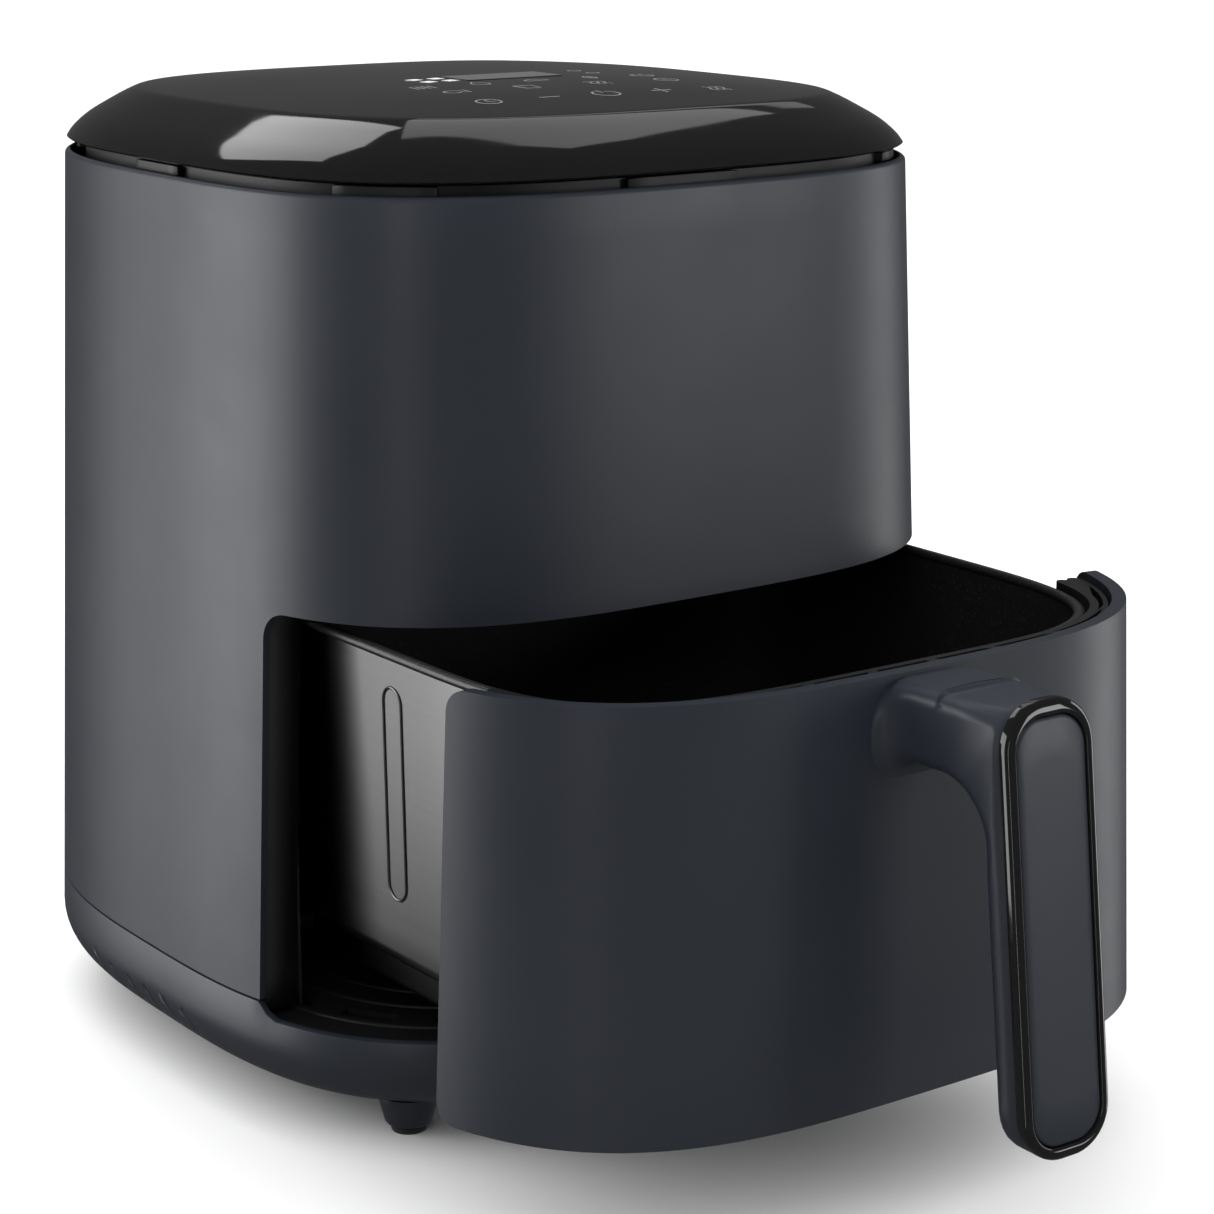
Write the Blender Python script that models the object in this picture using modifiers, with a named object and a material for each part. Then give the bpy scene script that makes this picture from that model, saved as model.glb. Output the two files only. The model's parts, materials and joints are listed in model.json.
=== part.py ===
"""Air fryer with a pull-out drawer, drawn out as in use. Metres, +Z up, the front faces -Y.

Everything is modelled about the body's own upright axis. The empty air_fryer_frame then moves it so
that the origin is under the middle of the whole object, and drawer_carrier draws the drawer out.
"""
import math

import bmesh
import bpy
from mathutils import Vector

# Body section: a superellipse that widens towards the base.
RIM_Z = 0.3023
HALF_WIDTH = 0.1258
FRONT_DEPTH = 0.1316
BACK_DEPTH = 0.1314
SLOPE_SIDE = 0.0400
SLOPE_FRONT = 0.0328
SLOPE_BACK = 0.0422
POWER_FRONT = 3.3
POWER_BACK = 2.8
STEPS = 48

# Heights.
FLOOR_GAP = 0.0132
OPENING_SILL = 0.0397
SEAM_Z = 0.0450
OPENING_TOP = 0.1726
LID_EDGE_Z = 0.3058
LID_FLAT_Z = 0.3276
DISPLAY_HALF = 0.0188
DISPLAY_FRONT = -0.0271
DISPLAY_BACK = -0.0090
LINER_ROOF = 0.2460

# Casing details. Vent slots lean forward going up, and the grille and the mains inlet are at the back.
RIM_ROUND = 0.0016
BASE_FILLET = 0.0195
VENT_COUNT = 6
VENT_FIRST_Y = 0.034
VENT_PITCH = 0.0135
VENT_WIDTH = 0.0060
VENT_LEAN = 0.0045
VENT_LOW = 0.0205
VENT_HIGH = 0.0285
VENT_INNER_X = 0.118
VENT_OUTER_X = 0.150
RING_LOW = 0.2960
RING_HIGH = 0.3050
RING_OUTER = 0.0062
RING_INNER = 0.0100
TAB_COUNT = 8
TAB_HALF = 0.0040
TAB_LOW = 0.3032
GRILLE_HALF = 0.0392
GRILLE_LOW = 0.2268
GRILLE_HIGH = 0.2782
GRILLE_THICK = 0.0040
GRILLE_SLOT_HALF = 0.0300
GRILLE_SLOT_LOW = 0.2325
GRILLE_SLOT_TALL = 0.0045
CORD_X = 0.0600
CORD_Z = 0.0700
CORD_RADIUS = 0.0036
GLAND_RADIUS = 0.0092
GLAND_ROOT = 0.1260
GLAND_TIP = 0.1480

# Walls and clearances.
GAP = 0.0003
SHELL_WALL = 0.0024
STEEL_WALL = 0.0010
PANEL_WALL = 0.0034
OPENING_BACK = -0.0712
OPENING_RADIUS = 0.0085
PANEL_CLEARANCE = 0.0008
PANEL_EDGE = OPENING_BACK - 0.0012
CHEEK_FRONT = PANEL_EDGE + 2 * GAP
CHEEK_BACK = CHEEK_FRONT + 0.0020
CHEEK_LOW = 0.0405
CHEEK_SHOULDER = 0.0055
SOFFIT_Z = OPENING_TOP + 0.0008
SOFFIT_THICK = 0.0018
SOFFIT_INSET = SHELL_WALL + 0.0014
SOFFIT_HALF = 0.1100
SOFFIT_TAPER = 0.0120
SOFFIT_FRONT = -0.1030
FAR = 0.30
FILL_SCALE = 1000

# Cavity and basket, as superellipses about an axis a little forward of the body's.
BASKET_Y = -0.0165
BASKET_WIDTH = 0.1115
BASKET_DEPTH = 0.1040
BASKET_POWER = 4.2
BASKET_RIM_Z = 0.1680
BASKET_STEP_Z = 0.0668
BASKET_FLOOR_Z = 0.0530
BASKET_WALL = 0.0012
CAVITY_POWER = 5.0
LINER_WIDTH = 0.1170
LINER_FRONT = -0.1160
LINER_BACK = 0.1120
RAIL_INNER = 0.1045
RAIL_OUTER = 0.1145
TRAY_Z = 0.0362
TRAY_THICK = 0.0024
FRAME_LOW = 0.1545
BRACE_LOW = 0.0720
BRACE_HIGH = 0.0780
POCKET_COUNT = 9

# Crisper plate.
CRISPER_Z = BASKET_FLOOR_Z + 0.0080
CRISPER_THICK = 0.0018
CRISPER_INSET = 0.0140
CRISPER_SLOT_HALF_X = 0.0220
CRISPER_SLOT_HALF_Y = 0.0035
CRISPER_ROW = 0.0190
CRISPER_COLUMN = 0.0560
BUMPER_X = 0.070
BUMPER_Y = 0.068

# Drawer travel: drawn out at rest, shut at the lower limit, clear of the body at the upper.
DRAWER_OUT = 0.1025

# Handle, in the shut drawer's place. The grip leans outwards going down.
HANDLE_HALF = 0.0166
GRIP_LEAN = 0.115
GRIP_FRONT = -0.1905
GRIP_FRONT_Z = 0.138
GRIP_DEPTH = 0.0138
BEZEL_DEPTH = 0.0038
GRIP_TOP = 0.1735
GRIP_BOTTOM = 0.0415
ARM_TOP = 0.1705
ARM_BOTTOM = 0.1475
ARM_SEAM = -0.1640
GRIP_CORNER = 0.0200
BEZEL_RADIUS = 0.0140
INSERT_RADIUS = 0.0095
INSERT_HALF = 0.0131
INSERT_LOW = GRIP_BOTTOM + 0.0042
INSERT_HIGH = GRIP_TOP - 0.0048

# Fan and heater, stacked on one upright axis.
FAN_Y = 0.0
GUARD_Z = 0.1960
HEATER_Z = 0.2060
FAN_Z = 0.2180
DECK_Z = 0.2475
MOTOR_Z = 0.2560
MOTOR_TALL = 0.0280
DECK_HALF_X = 0.0700
DECK_HALF_Y = 0.0600
STUD_X = 0.0335
COOLING_Z = 0.2930
SHAFT_TOP = 0.3040
SHAFT_BOTTOM = 0.2140
SHAFT_RADIUS = 0.0030
COIL_OUTER = 0.070
COIL_INNER = 0.056
COIL_TURNS = 1.9
COIL_RADIUS = 0.0032
GUARD_RADIUS = 0.088
GUARD_HOLE_RINGS = (0.020, 0.038, 0.056, 0.074)
GUARD_HOLE_HALF = 0.005

# Boards, sensor and cut-out.
CONTROL_Z = 0.3120
CONTROL_HALF = 0.0750
CONTROL_FRONT = -0.0850
CONTROL_BACK = 0.0300
POWER_Z = 0.2540
POWER_NEAR_X = 0.0520
POWER_FAR_X = 0.1050
POWER_HALF_Y = 0.0450
BOARD_THICK = 0.0016
SENSOR_X = -0.095
SENSOR_Y = 0.020
SENSOR_LOW = 0.2000
SENSOR_RADIUS = 0.0022
CUTOUT_X = -0.085
CUTOUT_Y = 0.030
CUTOUT_TOP = 0.2540
CUTOUT_RADIUS = 0.0080

# Drawer switch.
SWITCH_Z = 0.1500
PLUNGER_RADIUS = 0.0017
PLUNGER_END = 0.1165
PLUNGER_TRAVEL = 0.0030
SWITCH_HALF_X = 0.0100
SWITCH_HALF_Z = 0.0080
SWITCH_BACK = 0.1290

# Feet.
FOOT_X = 0.0920
FOOT_Y = 0.0965
PAD_TALL = 0.0022
SCREW_X = 0.060
SCREW_Y = 0.085
SCREW_TOP = 0.0280
SCREW_RADIUS = 0.0017
SCREW_HEAD = 0.0036

HANDLE_TIP = GRIP_FRONT - GRIP_LEAN * (GRIP_FRONT_Z - GRIP_BOTTOM)

SLATE = ("slate_plastic", (0.105, 0.118, 0.140), 0.48, 0.0)
GLOSS = ("gloss_black", (0.012, 0.012, 0.013), 0.10, 0.0)
BLACK = ("black_plastic", (0.015, 0.015, 0.016), 0.55, 0.0)
GLASS = ("display_smoke", (0.25, 0.25, 0.26), 0.15, 0.0)
SATIN = ("satin_steel", (0.42, 0.42, 0.40), 0.32, 1.0)
PLATED = ("plated_steel", (0.55, 0.55, 0.55), 0.35, 1.0)
DARK = ("dark_coating", (0.020, 0.020, 0.021), 0.45, 0.0)
RUBBER = ("black_rubber", (0.010, 0.010, 0.010), 0.85, 0.0)
SILICONE = ("grey_silicone", (0.16, 0.16, 0.17), 0.70, 0.0)
BOARD = ("green_board", (0.02, 0.12, 0.05), 0.50, 0.0)
ELEMENT = ("heater_steel", (0.10, 0.09, 0.08), 0.40, 1.0)
BRASS = ("brass", (0.60, 0.45, 0.18), 0.30, 1.0)


def clear_scene():
    for item in list(bpy.data.objects):
        bpy.data.objects.remove(item)


def new_collection(name):
    group = bpy.data.collections.new(name)
    bpy.context.scene.collection.children.link(group)
    return group


def finish_of(look):
    name, colour, roughness, metallic = look
    if name in bpy.data.materials:
        return bpy.data.materials[name]
    made = bpy.data.materials.new(name)
    made.use_nodes = True
    shader = made.node_tree.nodes["Principled BSDF"]
    shader.inputs["Base Color"].default_value = (*colour, 1.0)
    shader.inputs["Roughness"].default_value = roughness
    shader.inputs["Metallic"].default_value = metallic
    return made


def carrier(name, parent, place):
    empty = bpy.data.objects.new(name, None)
    parts.objects.link(empty)
    empty.parent = parent
    empty.location = place
    return empty


def add(name, mesh, look, parent, group=None):
    """Links a mesh as a named piece, or as a cutter when group is the cutters' collection."""
    piece = bpy.data.objects.new(name, mesh)
    (group or parts).objects.link(piece)
    piece.parent = parent
    if look:
        mesh.materials.append(finish_of(look))
        mesh.shade_smooth()
        mesh.set_sharp_from_angle(angle=math.radians(35))
    return piece


def mesh_from(bm, name):
    bmesh.ops.recalc_face_normals(bm, faces=bm.faces)
    if bm.calc_volume(signed=True) < 0:
        bmesh.ops.reverse_faces(bm, faces=bm.faces)
    mesh = bpy.data.meshes.new(name)
    bm.to_mesh(mesh)
    bm.free()
    return mesh


def loft(rings, closed=False):
    """Joins rings of equal count. An open stack is capped at both ends, a closed one is a sleeve."""
    bm = bmesh.new()
    rows = [[bm.verts.new(point) for point in ring] for ring in rings]
    pairs = list(zip(rows, rows[1:]))
    if closed:
        pairs.append((rows[-1], rows[0]))
    else:
        bm.faces.new(rows[0])
        bm.faces.new(rows[-1])
    for low, high in pairs:
        for i in range(len(low)):
            j = (i + 1) % len(low)
            bm.faces.new((low[i], low[j], high[j], high[i]))
    return mesh_from(bm, "loft")


def block(low, high):
    bm = bmesh.new()
    bmesh.ops.create_cube(bm, size=1.0)
    low, high = Vector(low), Vector(high)
    for vert in bm.verts:
        vert.co = (low + high) / 2 + Vector(c * d for c, d in zip(vert.co, high - low))
    return mesh_from(bm, "block")


def rod(start, end, radius, steps=20, radius_end=None):
    """A straight round bar or cone between two points."""
    bm = bmesh.new()
    axis = Vector(end) - Vector(start)
    bmesh.ops.create_cone(bm, cap_ends=True, segments=steps, radius1=radius,
                          radius2=radius_end or radius, depth=axis.length)
    turn = axis.to_track_quat("Z", "Y").to_matrix()
    middle = (Vector(start) + Vector(end)) / 2
    for vert in bm.verts:
        vert.co = turn @ vert.co + middle
    return mesh_from(bm, "rod")


def flat(outlines, low, high, axis="Z"):
    """An outline with any holes, made thick from low to high along an axis.

    Outline points are (x, y) for axis Z, (y, z) for X and (x, z) for Y. The curve is drawn FILL_SCALE
    times too large and shrunk again, because the fill drops points that lie close together.
    """
    curve = bpy.data.curves.new("outline", "CURVE")
    curve.dimensions = "2D"
    curve.fill_mode = "BOTH"
    curve.extrude = (high - low) / 2 * FILL_SCALE
    for points in outlines:
        spline = curve.splines.new("POLY")
        spline.points.add(len(points) - 1)
        for target, (u, v) in zip(spline.points, points):
            target.co = (u * FILL_SCALE, v * FILL_SCALE, 0, 1)
        spline.use_cyclic_u = True
    holder = bpy.data.objects.new("outline", curve)
    parts.objects.link(holder)
    depsgraph = bpy.context.evaluated_depsgraph_get()
    bm = bmesh.new()
    made = bpy.data.meshes.new_from_object(holder.evaluated_get(depsgraph))
    bm.from_mesh(made)
    bpy.data.objects.remove(holder)
    bmesh.ops.remove_doubles(bm, verts=bm.verts, dist=0.02)
    middle = (low + high) / 2
    for vert in bm.verts:
        u, v, depth = vert.co / FILL_SCALE
        places = {"Z": (u, v, depth + middle), "X": (depth + middle, u, v), "Y": (u, depth + middle, v)}
        vert.co = places[axis]
    return mesh_from(bm, "flat")


def turned(name, profile, look, parent, place, steps=24):
    """A turned piece from an (r, z) profile listed from the top down, spun by a Screw modifier."""
    mesh = bpy.data.meshes.new(name)
    edges = [(i, i + 1) for i in range(len(profile) - 1)]
    mesh.from_pydata([(r, 0.0, z) for r, z in profile], edges, [])
    piece = add(name, mesh, None, parent)
    mesh.materials.append(finish_of(look))
    piece.location = place
    screw = piece.modifiers.new("Turn", "SCREW")
    screw.steps = steps
    screw.render_steps = steps
    screw.use_merge_vertices = True
    screw.merge_threshold = 0.00005
    screw.use_smooth_shade = True
    return piece


def boolean(piece, mesh, operation):
    """Cuts or joins another mesh, kept as a hidden wire object beside the parts."""
    cutter = add(piece.name + "_tool", mesh, None, piece.parent, cutters)
    cutter.hide_render = True
    cutter.display_type = "WIRE"
    step = piece.modifiers.new(operation.title(), "BOOLEAN")
    step.operation = operation
    step.object = cutter


def cut(piece, *meshes):
    for mesh in meshes:
        boolean(piece, mesh, "DIFFERENCE")


def join(piece, *meshes):
    for mesh in meshes:
        boolean(piece, mesh, "UNION")


def superellipse(angle, half_x, half_y, power):
    cosine, sine = math.cos(angle), math.sin(angle)
    radius = (abs(cosine / half_x) ** power + abs(sine / half_y) ** power) ** (-1 / power)
    return radius * cosine, radius * sine


def body_point(angle, z, inset):
    drop = RIM_Z - z
    half_x = HALF_WIDTH + SLOPE_SIDE * drop - inset
    if math.sin(angle) < 0:
        return superellipse(angle, half_x, FRONT_DEPTH + SLOPE_FRONT * drop - inset, POWER_FRONT)
    return superellipse(angle, half_x, BACK_DEPTH + SLOPE_BACK * drop - inset, POWER_BACK)


def body_half_width(y, z, inset):
    """The body's half width at a place in its front half."""
    drop = RIM_Z - z
    share = abs(y) / (FRONT_DEPTH + SLOPE_FRONT * drop - inset)
    return (HALF_WIDTH + SLOPE_SIDE * drop - inset) * (1 - share ** POWER_FRONT) ** (1 / POWER_FRONT)


def body_ring(z, inset, steps=STEPS):
    return [(*body_point(math.tau * i / steps, z, inset), z) for i in range(steps)]


def basket_ring(z, inset, steps=48):
    ring = []
    for i in range(steps):
        x, y = superellipse(math.tau * i / steps, BASKET_WIDTH - inset, BASKET_DEPTH - inset, BASKET_POWER)
        ring.append((x, y + BASKET_Y, z))
    return ring


def liner_ring(z, inset, steps=48):
    half_y = (LINER_BACK - LINER_FRONT) / 2 - inset
    middle = (LINER_BACK + LINER_FRONT) / 2
    ring = []
    for i in range(steps):
        x, y = superellipse(math.tau * i / steps, LINER_WIDTH - inset, half_y, CAVITY_POWER)
        ring.append((x, y + middle, z))
    return ring


def arc(centre, radius, start, end, count=5):
    """Points on an arc, with angles in degrees."""
    angles = (math.radians(start + (end - start) * i / count) for i in range(count + 1))
    return [(centre[0] + radius * math.cos(a), centre[1] + radius * math.sin(a)) for a in angles]


def rounded_box(low_u, low_v, high_u, high_v, radius, count=4):
    corners = ((high_u - radius, high_v - radius, 0), (low_u + radius, high_v - radius, 90),
               (low_u + radius, low_v + radius, 180), (high_u - radius, low_v + radius, 270))
    points = []
    for u, v, start in corners:
        points += arc((u, v), radius, start, start + 90, count)
    return points


def circle(x, y, radius, count=16):
    return [(x + radius * math.cos(math.tau * i / count), y + radius * math.sin(math.tau * i / count))
            for i in range(count)]


def front_band(inset_outer, inset_inner, z, start, end, count):
    """A strip that follows the body's front between two angles in degrees."""
    angles = [math.radians(start + (end - start) * i / count) for i in range(count + 1)]
    outer = [body_point(a, z, inset_outer) for a in angles]
    return outer + [body_point(a, z, inset_inner) for a in reversed(angles)]


def make_casing(frame):
    wall = SHELL_WALL
    bottom = SEAM_Z + GAP
    shell = add("outer_shell", loft([
        body_ring(bottom, 0), body_ring(OPENING_TOP, 0), body_ring(RIM_Z - RIM_ROUND, 0),
        body_ring(RIM_Z, RIM_ROUND), body_ring(RIM_Z, wall), body_ring(OPENING_TOP, wall),
        body_ring(bottom, wall)], closed=True), SLATE, frame)
    cut(shell, opening_cutter())

    fillet = BASE_FILLET
    outer = [body_ring(FLOOR_GAP, fillet)]
    outer += [body_ring(FLOOR_GAP + fillet * (1 - math.cos(math.radians(a))),
                        fillet * (1 - math.sin(math.radians(a)))) for a in (30, 60, 90)]
    inner = [body_ring(FLOOR_GAP + fillet, wall), body_ring(FLOOR_GAP + fillet * 0.5, wall + 0.0026),
             body_ring(FLOOR_GAP + wall, fillet)]
    pan = add("base_pan", loft(outer + [body_ring(SEAM_Z - GAP, 0), body_ring(SEAM_Z - GAP, wall)] + inner),
              SLATE, frame)
    cut(pan, block((-FAR, -FAR, OPENING_SILL), (FAR, OPENING_BACK, SEAM_Z + 0.01)))
    for side in (-1, 1):
        near, far = sorted((side * VENT_INNER_X, side * VENT_OUTER_X))
        for i in range(VENT_COUNT):
            low_y = VENT_FIRST_Y - VENT_PITCH * i
            high_y = low_y + VENT_LEAN
            slot = [(low_y, VENT_LOW), (low_y + VENT_WIDTH, VENT_LOW),
                    (high_y + VENT_WIDTH, VENT_HIGH), (high_y, VENT_HIGH)]
            cut(pan, flat([slot], near, far, "X"))
    for x, y in screw_places():
        cut(pan, rod((x, y, 0.0), (x, y, 0.03), 0.0021, 12))

    ring = add("vent_ring", loft([
        body_ring(RING_LOW, RING_OUTER), body_ring(RING_HIGH, RING_OUTER), body_ring(RING_HIGH, RING_INNER),
        body_ring(RING_LOW, RING_INNER)], closed=True), BLACK, frame)
    for i in range(TAB_COUNT):
        angle = math.tau * (i + 0.5) / TAB_COUNT
        x, y = body_point(angle, RIM_Z, 0.0060)
        join(ring, block((x - TAB_HALF, y - TAB_HALF, TAB_LOW), (x + TAB_HALF, y + TAB_HALF, RING_HIGH)))

    # The lid's profile as (height, inset): a sharp lower edge, a round shoulder and a slight dome.
    lid_outer = [(LID_EDGE_Z, 0.0030), (LID_EDGE_Z + 0.0008, 0.0008), (0.3092, 0.0022), (0.3136, 0.0066),
                 (0.3180, 0.0132), (0.3216, 0.0225), (0.3241, 0.0370), (0.3262, 0.0580), (LID_FLAT_Z, 0.0840)]
    lid_inner = [(0.3254, 0.0840), (0.3214, 0.0390), (0.3188, 0.0235), (0.3120, 0.0092), (LID_EDGE_Z, 0.0052)]
    lid = add("lid_cover", loft([body_ring(z, inset) for z, inset in lid_inner + lid_outer]), GLOSS, frame)
    window = rounded_box(-DISPLAY_HALF - GAP, DISPLAY_FRONT - GAP,
                         DISPLAY_HALF + GAP, DISPLAY_BACK + GAP, 0.0015, 2)
    cut(lid, flat([window], LID_EDGE_Z + 0.0092, LID_FLAT_Z + 0.0024))
    glass = rounded_box(-DISPLAY_HALF, DISPLAY_FRONT, DISPLAY_HALF, DISPLAY_BACK, 0.0013, 2)
    add("display_window", flat([glass], LID_FLAT_Z - 0.0016, LID_FLAT_Z), GLASS, frame)


def opening_cutter():
    radius = OPENING_RADIUS
    centre = (OPENING_BACK - radius, OPENING_TOP - radius)
    outline = [(-FAR, 0.0), (OPENING_BACK, 0.0)] + arc(centre, radius, 0, 90) + [(-FAR, OPENING_TOP)]
    return flat([outline], -FAR, FAR, "X")


def screw_places():
    return [(x, y) for x in (-SCREW_X, SCREW_X) for y in (-SCREW_Y, SCREW_Y)]


def make_cavity(frame):
    liner = add("cavity_liner", loft([
        liner_ring(LINER_ROOF - STEEL_WALL, 0.0180), liner_ring(LINER_ROOF - 0.012, STEEL_WALL),
        liner_ring(TRAY_Z + TRAY_THICK + GAP, STEEL_WALL), liner_ring(TRAY_Z + TRAY_THICK + GAP, 0),
        liner_ring(LINER_ROOF - 0.012, 0), liner_ring(LINER_ROOF, 0.0180)]), DARK, frame)
    cut(liner, block((-FAR, -FAR, 0), (FAR, OPENING_BACK + 0.0028, OPENING_TOP + 0.0032)))
    cut(liner, rod((0, FAN_Y, 0.23), (0, FAN_Y, 0.26), 0.0070, 20))

    tray = [[body_point(math.tau * i / STEPS, TRAY_Z, SHELL_WALL + 0.0008) for i in range(STEPS)]]
    for i in range(11):
        start = 204 + 13.2 * i
        tray.append(front_band(0.0180, 0.0230, TRAY_Z, start, start + 8, 3))
    add("cavity_floor", flat(tray, TRAY_Z, TRAY_Z + TRAY_THICK), BLACK, frame)

    make_opening_frame(frame)

    for name, side in (("left", -1), ("right", 1)):
        low, high = sorted((side * RAIL_INNER, side * RAIL_OUTER))
        add("slide_rail_" + name, block((low, -0.060, 0.0610), (high, 0.050, BASKET_STEP_Z - 0.0008)),
            PLATED, frame)


def make_opening_frame(frame):
    """The soffit and two cheeks that close the space between the casing and the cavity."""
    reach = body_half_width(CHEEK_BACK, SOFFIT_Z, SOFFIT_INSET)
    outer = [body_point(math.radians(a), SOFFIT_Z, SOFFIT_INSET) for a in range(212, 329, 4)]
    outer = [point for point in outer if point[1] < CHEEK_FRONT]
    outer = [(-reach, CHEEK_BACK)] + outer + [(reach, CHEEK_BACK)]
    narrow = SOFFIT_HALF - SOFFIT_TAPER
    soffit = outer + [(SOFFIT_HALF, CHEEK_BACK), (narrow, SOFFIT_FRONT), (-narrow, SOFFIT_FRONT),
                      (-SOFFIT_HALF, CHEEK_BACK)]
    soffit_top = SOFFIT_Z + SOFFIT_THICK
    opening = add("opening_frame", flat([soffit], SOFFIT_Z, soffit_top), BLACK, frame)
    shoulder, corner = CHEEK_LOW + CHEEK_SHOULDER, OPENING_TOP - OPENING_RADIUS
    cheek = [(LINER_WIDTH + GAP, CHEEK_LOW),
             (body_half_width(CHEEK_FRONT, shoulder, SHELL_WALL + 2 * GAP), shoulder),
             (body_half_width(CHEEK_FRONT, corner, SHELL_WALL + 2 * GAP), corner),
             (reach - GAP, soffit_top), (SOFFIT_HALF, soffit_top), (SOFFIT_HALF, SOFFIT_Z),
             (LINER_WIDTH + GAP, SOFFIT_Z - 0.0020)]
    for side in (-1, 1):
        join(opening, flat([[(side * x, z) for x, z in cheek]], CHEEK_FRONT, CHEEK_BACK, "Y"))


def make_heater(frame):
    coil = bpy.data.curves.new("heater_coil", "CURVE")
    coil.dimensions = "3D"
    coil.bevel_depth = COIL_RADIUS
    coil.bevel_resolution = 2
    coil.use_fill_caps = True
    count = 54
    spline = coil.splines.new("POLY")
    points = [(COIL_OUTER, -0.004, HEATER_Z + 0.030)]
    for i in range(count + 1):
        share = i / count
        radius = COIL_OUTER + (COIL_INNER - COIL_OUTER) * share
        turn = math.tau * COIL_TURNS * share
        points.append((radius * math.cos(turn), radius * math.sin(turn), HEATER_Z))
    spline.points.add(len(points) - 1)
    for target, point in zip(spline.points, points):
        target.co = (*point, 1)
    coil.materials.append(finish_of(ELEMENT))
    piece = bpy.data.objects.new("heater_coil", coil)
    parts.objects.link(piece)
    piece.parent = frame
    piece.location = (0, FAN_Y, 0)

    holes = []
    for ring, radius in enumerate(GUARD_HOLE_RINGS):
        for k in range(4):
            angles = [math.radians(90 * k + 17 * ring + 8 + 74 * i / 5) for i in range(6)]
            wide, narrow = radius + GUARD_HOLE_HALF, radius - GUARD_HOLE_HALF
            outer = [(wide * math.cos(a), wide * math.sin(a)) for a in angles]
            inner = [(narrow * math.cos(a), narrow * math.sin(a)) for a in reversed(angles)]
            holes.append(outer + inner)
    add("heater_guard", flat([circle(0, 0, GUARD_RADIUS, 40)] + holes, GUARD_Z, GUARD_Z + 0.0015),
        PLATED, frame)

    upright = block((-GUARD_RADIUS, -0.006, GUARD_Z + 0.0018), (-GUARD_RADIUS + 0.002, 0.006, 0.2335))
    bracket = add("guard_bracket", upright, PLATED, frame)
    join(bracket, block((-GUARD_RADIUS, -0.006, GUARD_Z + 0.0018),
                        (-GUARD_RADIUS + 0.010, 0.006, GUARD_Z + 0.0030)))

    deck = add("motor_deck", flat([rounded_box(-DECK_HALF_X, -DECK_HALF_Y, DECK_HALF_X, DECK_HALF_Y, 0.012),
                                   circle(0, 0, 0.0090)], DECK_Z, DECK_Z + 0.0015), PLATED, frame)
    for x in (-STUD_X, STUD_X):
        join(deck, rod((x, FAN_Y, DECK_Z + 0.001), (x, FAN_Y, MOTOR_Z - GAP), 0.0040, 12))
    turned("fan_motor", [(0.0062, MOTOR_TALL), (0.0300, MOTOR_TALL), (0.0320, MOTOR_TALL - 0.002),
                         (0.0320, 0.012), (0.0390, 0.012), (0.0390, 0.010), (0.0320, 0.010), (0.0320, 0.002),
                         (0.0380, 0.0018), (0.0380, 0.0), (0.0062, 0.0), (0.0062, MOTOR_TALL)],
           PLATED, frame, (0, FAN_Y, MOTOR_Z), 28)

    spinner = carrier("fan_axis", frame, (0, FAN_Y, 0))
    turned("motor_shaft", [(0.0, SHAFT_TOP), (SHAFT_RADIUS, SHAFT_TOP), (SHAFT_RADIUS, SHAFT_BOTTOM),
                           (0.0, SHAFT_BOTTOM)],
           PLATED, spinner, (0, 0, 0), 16)
    blades("hot_air_fan", spinner, FAN_Z, 0.046, 0.0160, 8, PLATED, SHAFT_RADIUS + GAP)
    blades("cooling_fan", spinner, COOLING_Z, 0.034, 0.0070, 7, BLACK, SHAFT_RADIUS + GAP)
    turned("fan_nut", [(0.0038, 0.0050), (0.0066, 0.0050), (0.0066, 0.0), (0.0038, 0.0), (0.0038, 0.0050)],
           BRASS, spinner, (0, 0, FAN_Z - 0.0056), 6)


def blades(name, spinner, z, radius, tall, count, look, bore):
    """A round plate with upright blades around it and a hub bored for the shaft."""
    wheel = add(name, flat([circle(0, 0, radius, 32), circle(0, 0, bore, 16)], z, z + 0.0010), look, spinner)
    hub = flat([circle(0, 0, bore + 0.0045, 16), circle(0, 0, bore, 16)], z, z + 0.0060)
    join(wheel, hub)
    for i in range(count):
        turn = math.tau * i / count
        along = Vector((math.cos(turn), math.sin(turn)))
        across = Vector((-math.sin(turn), math.cos(turn))) * 0.0006
        near, far = along * 0.014, along * (radius - 0.002) + across * 12
        outline = [tuple(near - across), tuple(far - across), tuple(far + across), tuple(near + across)]
        join(wheel, flat([outline], z + 0.0005, z + tall))


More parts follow.
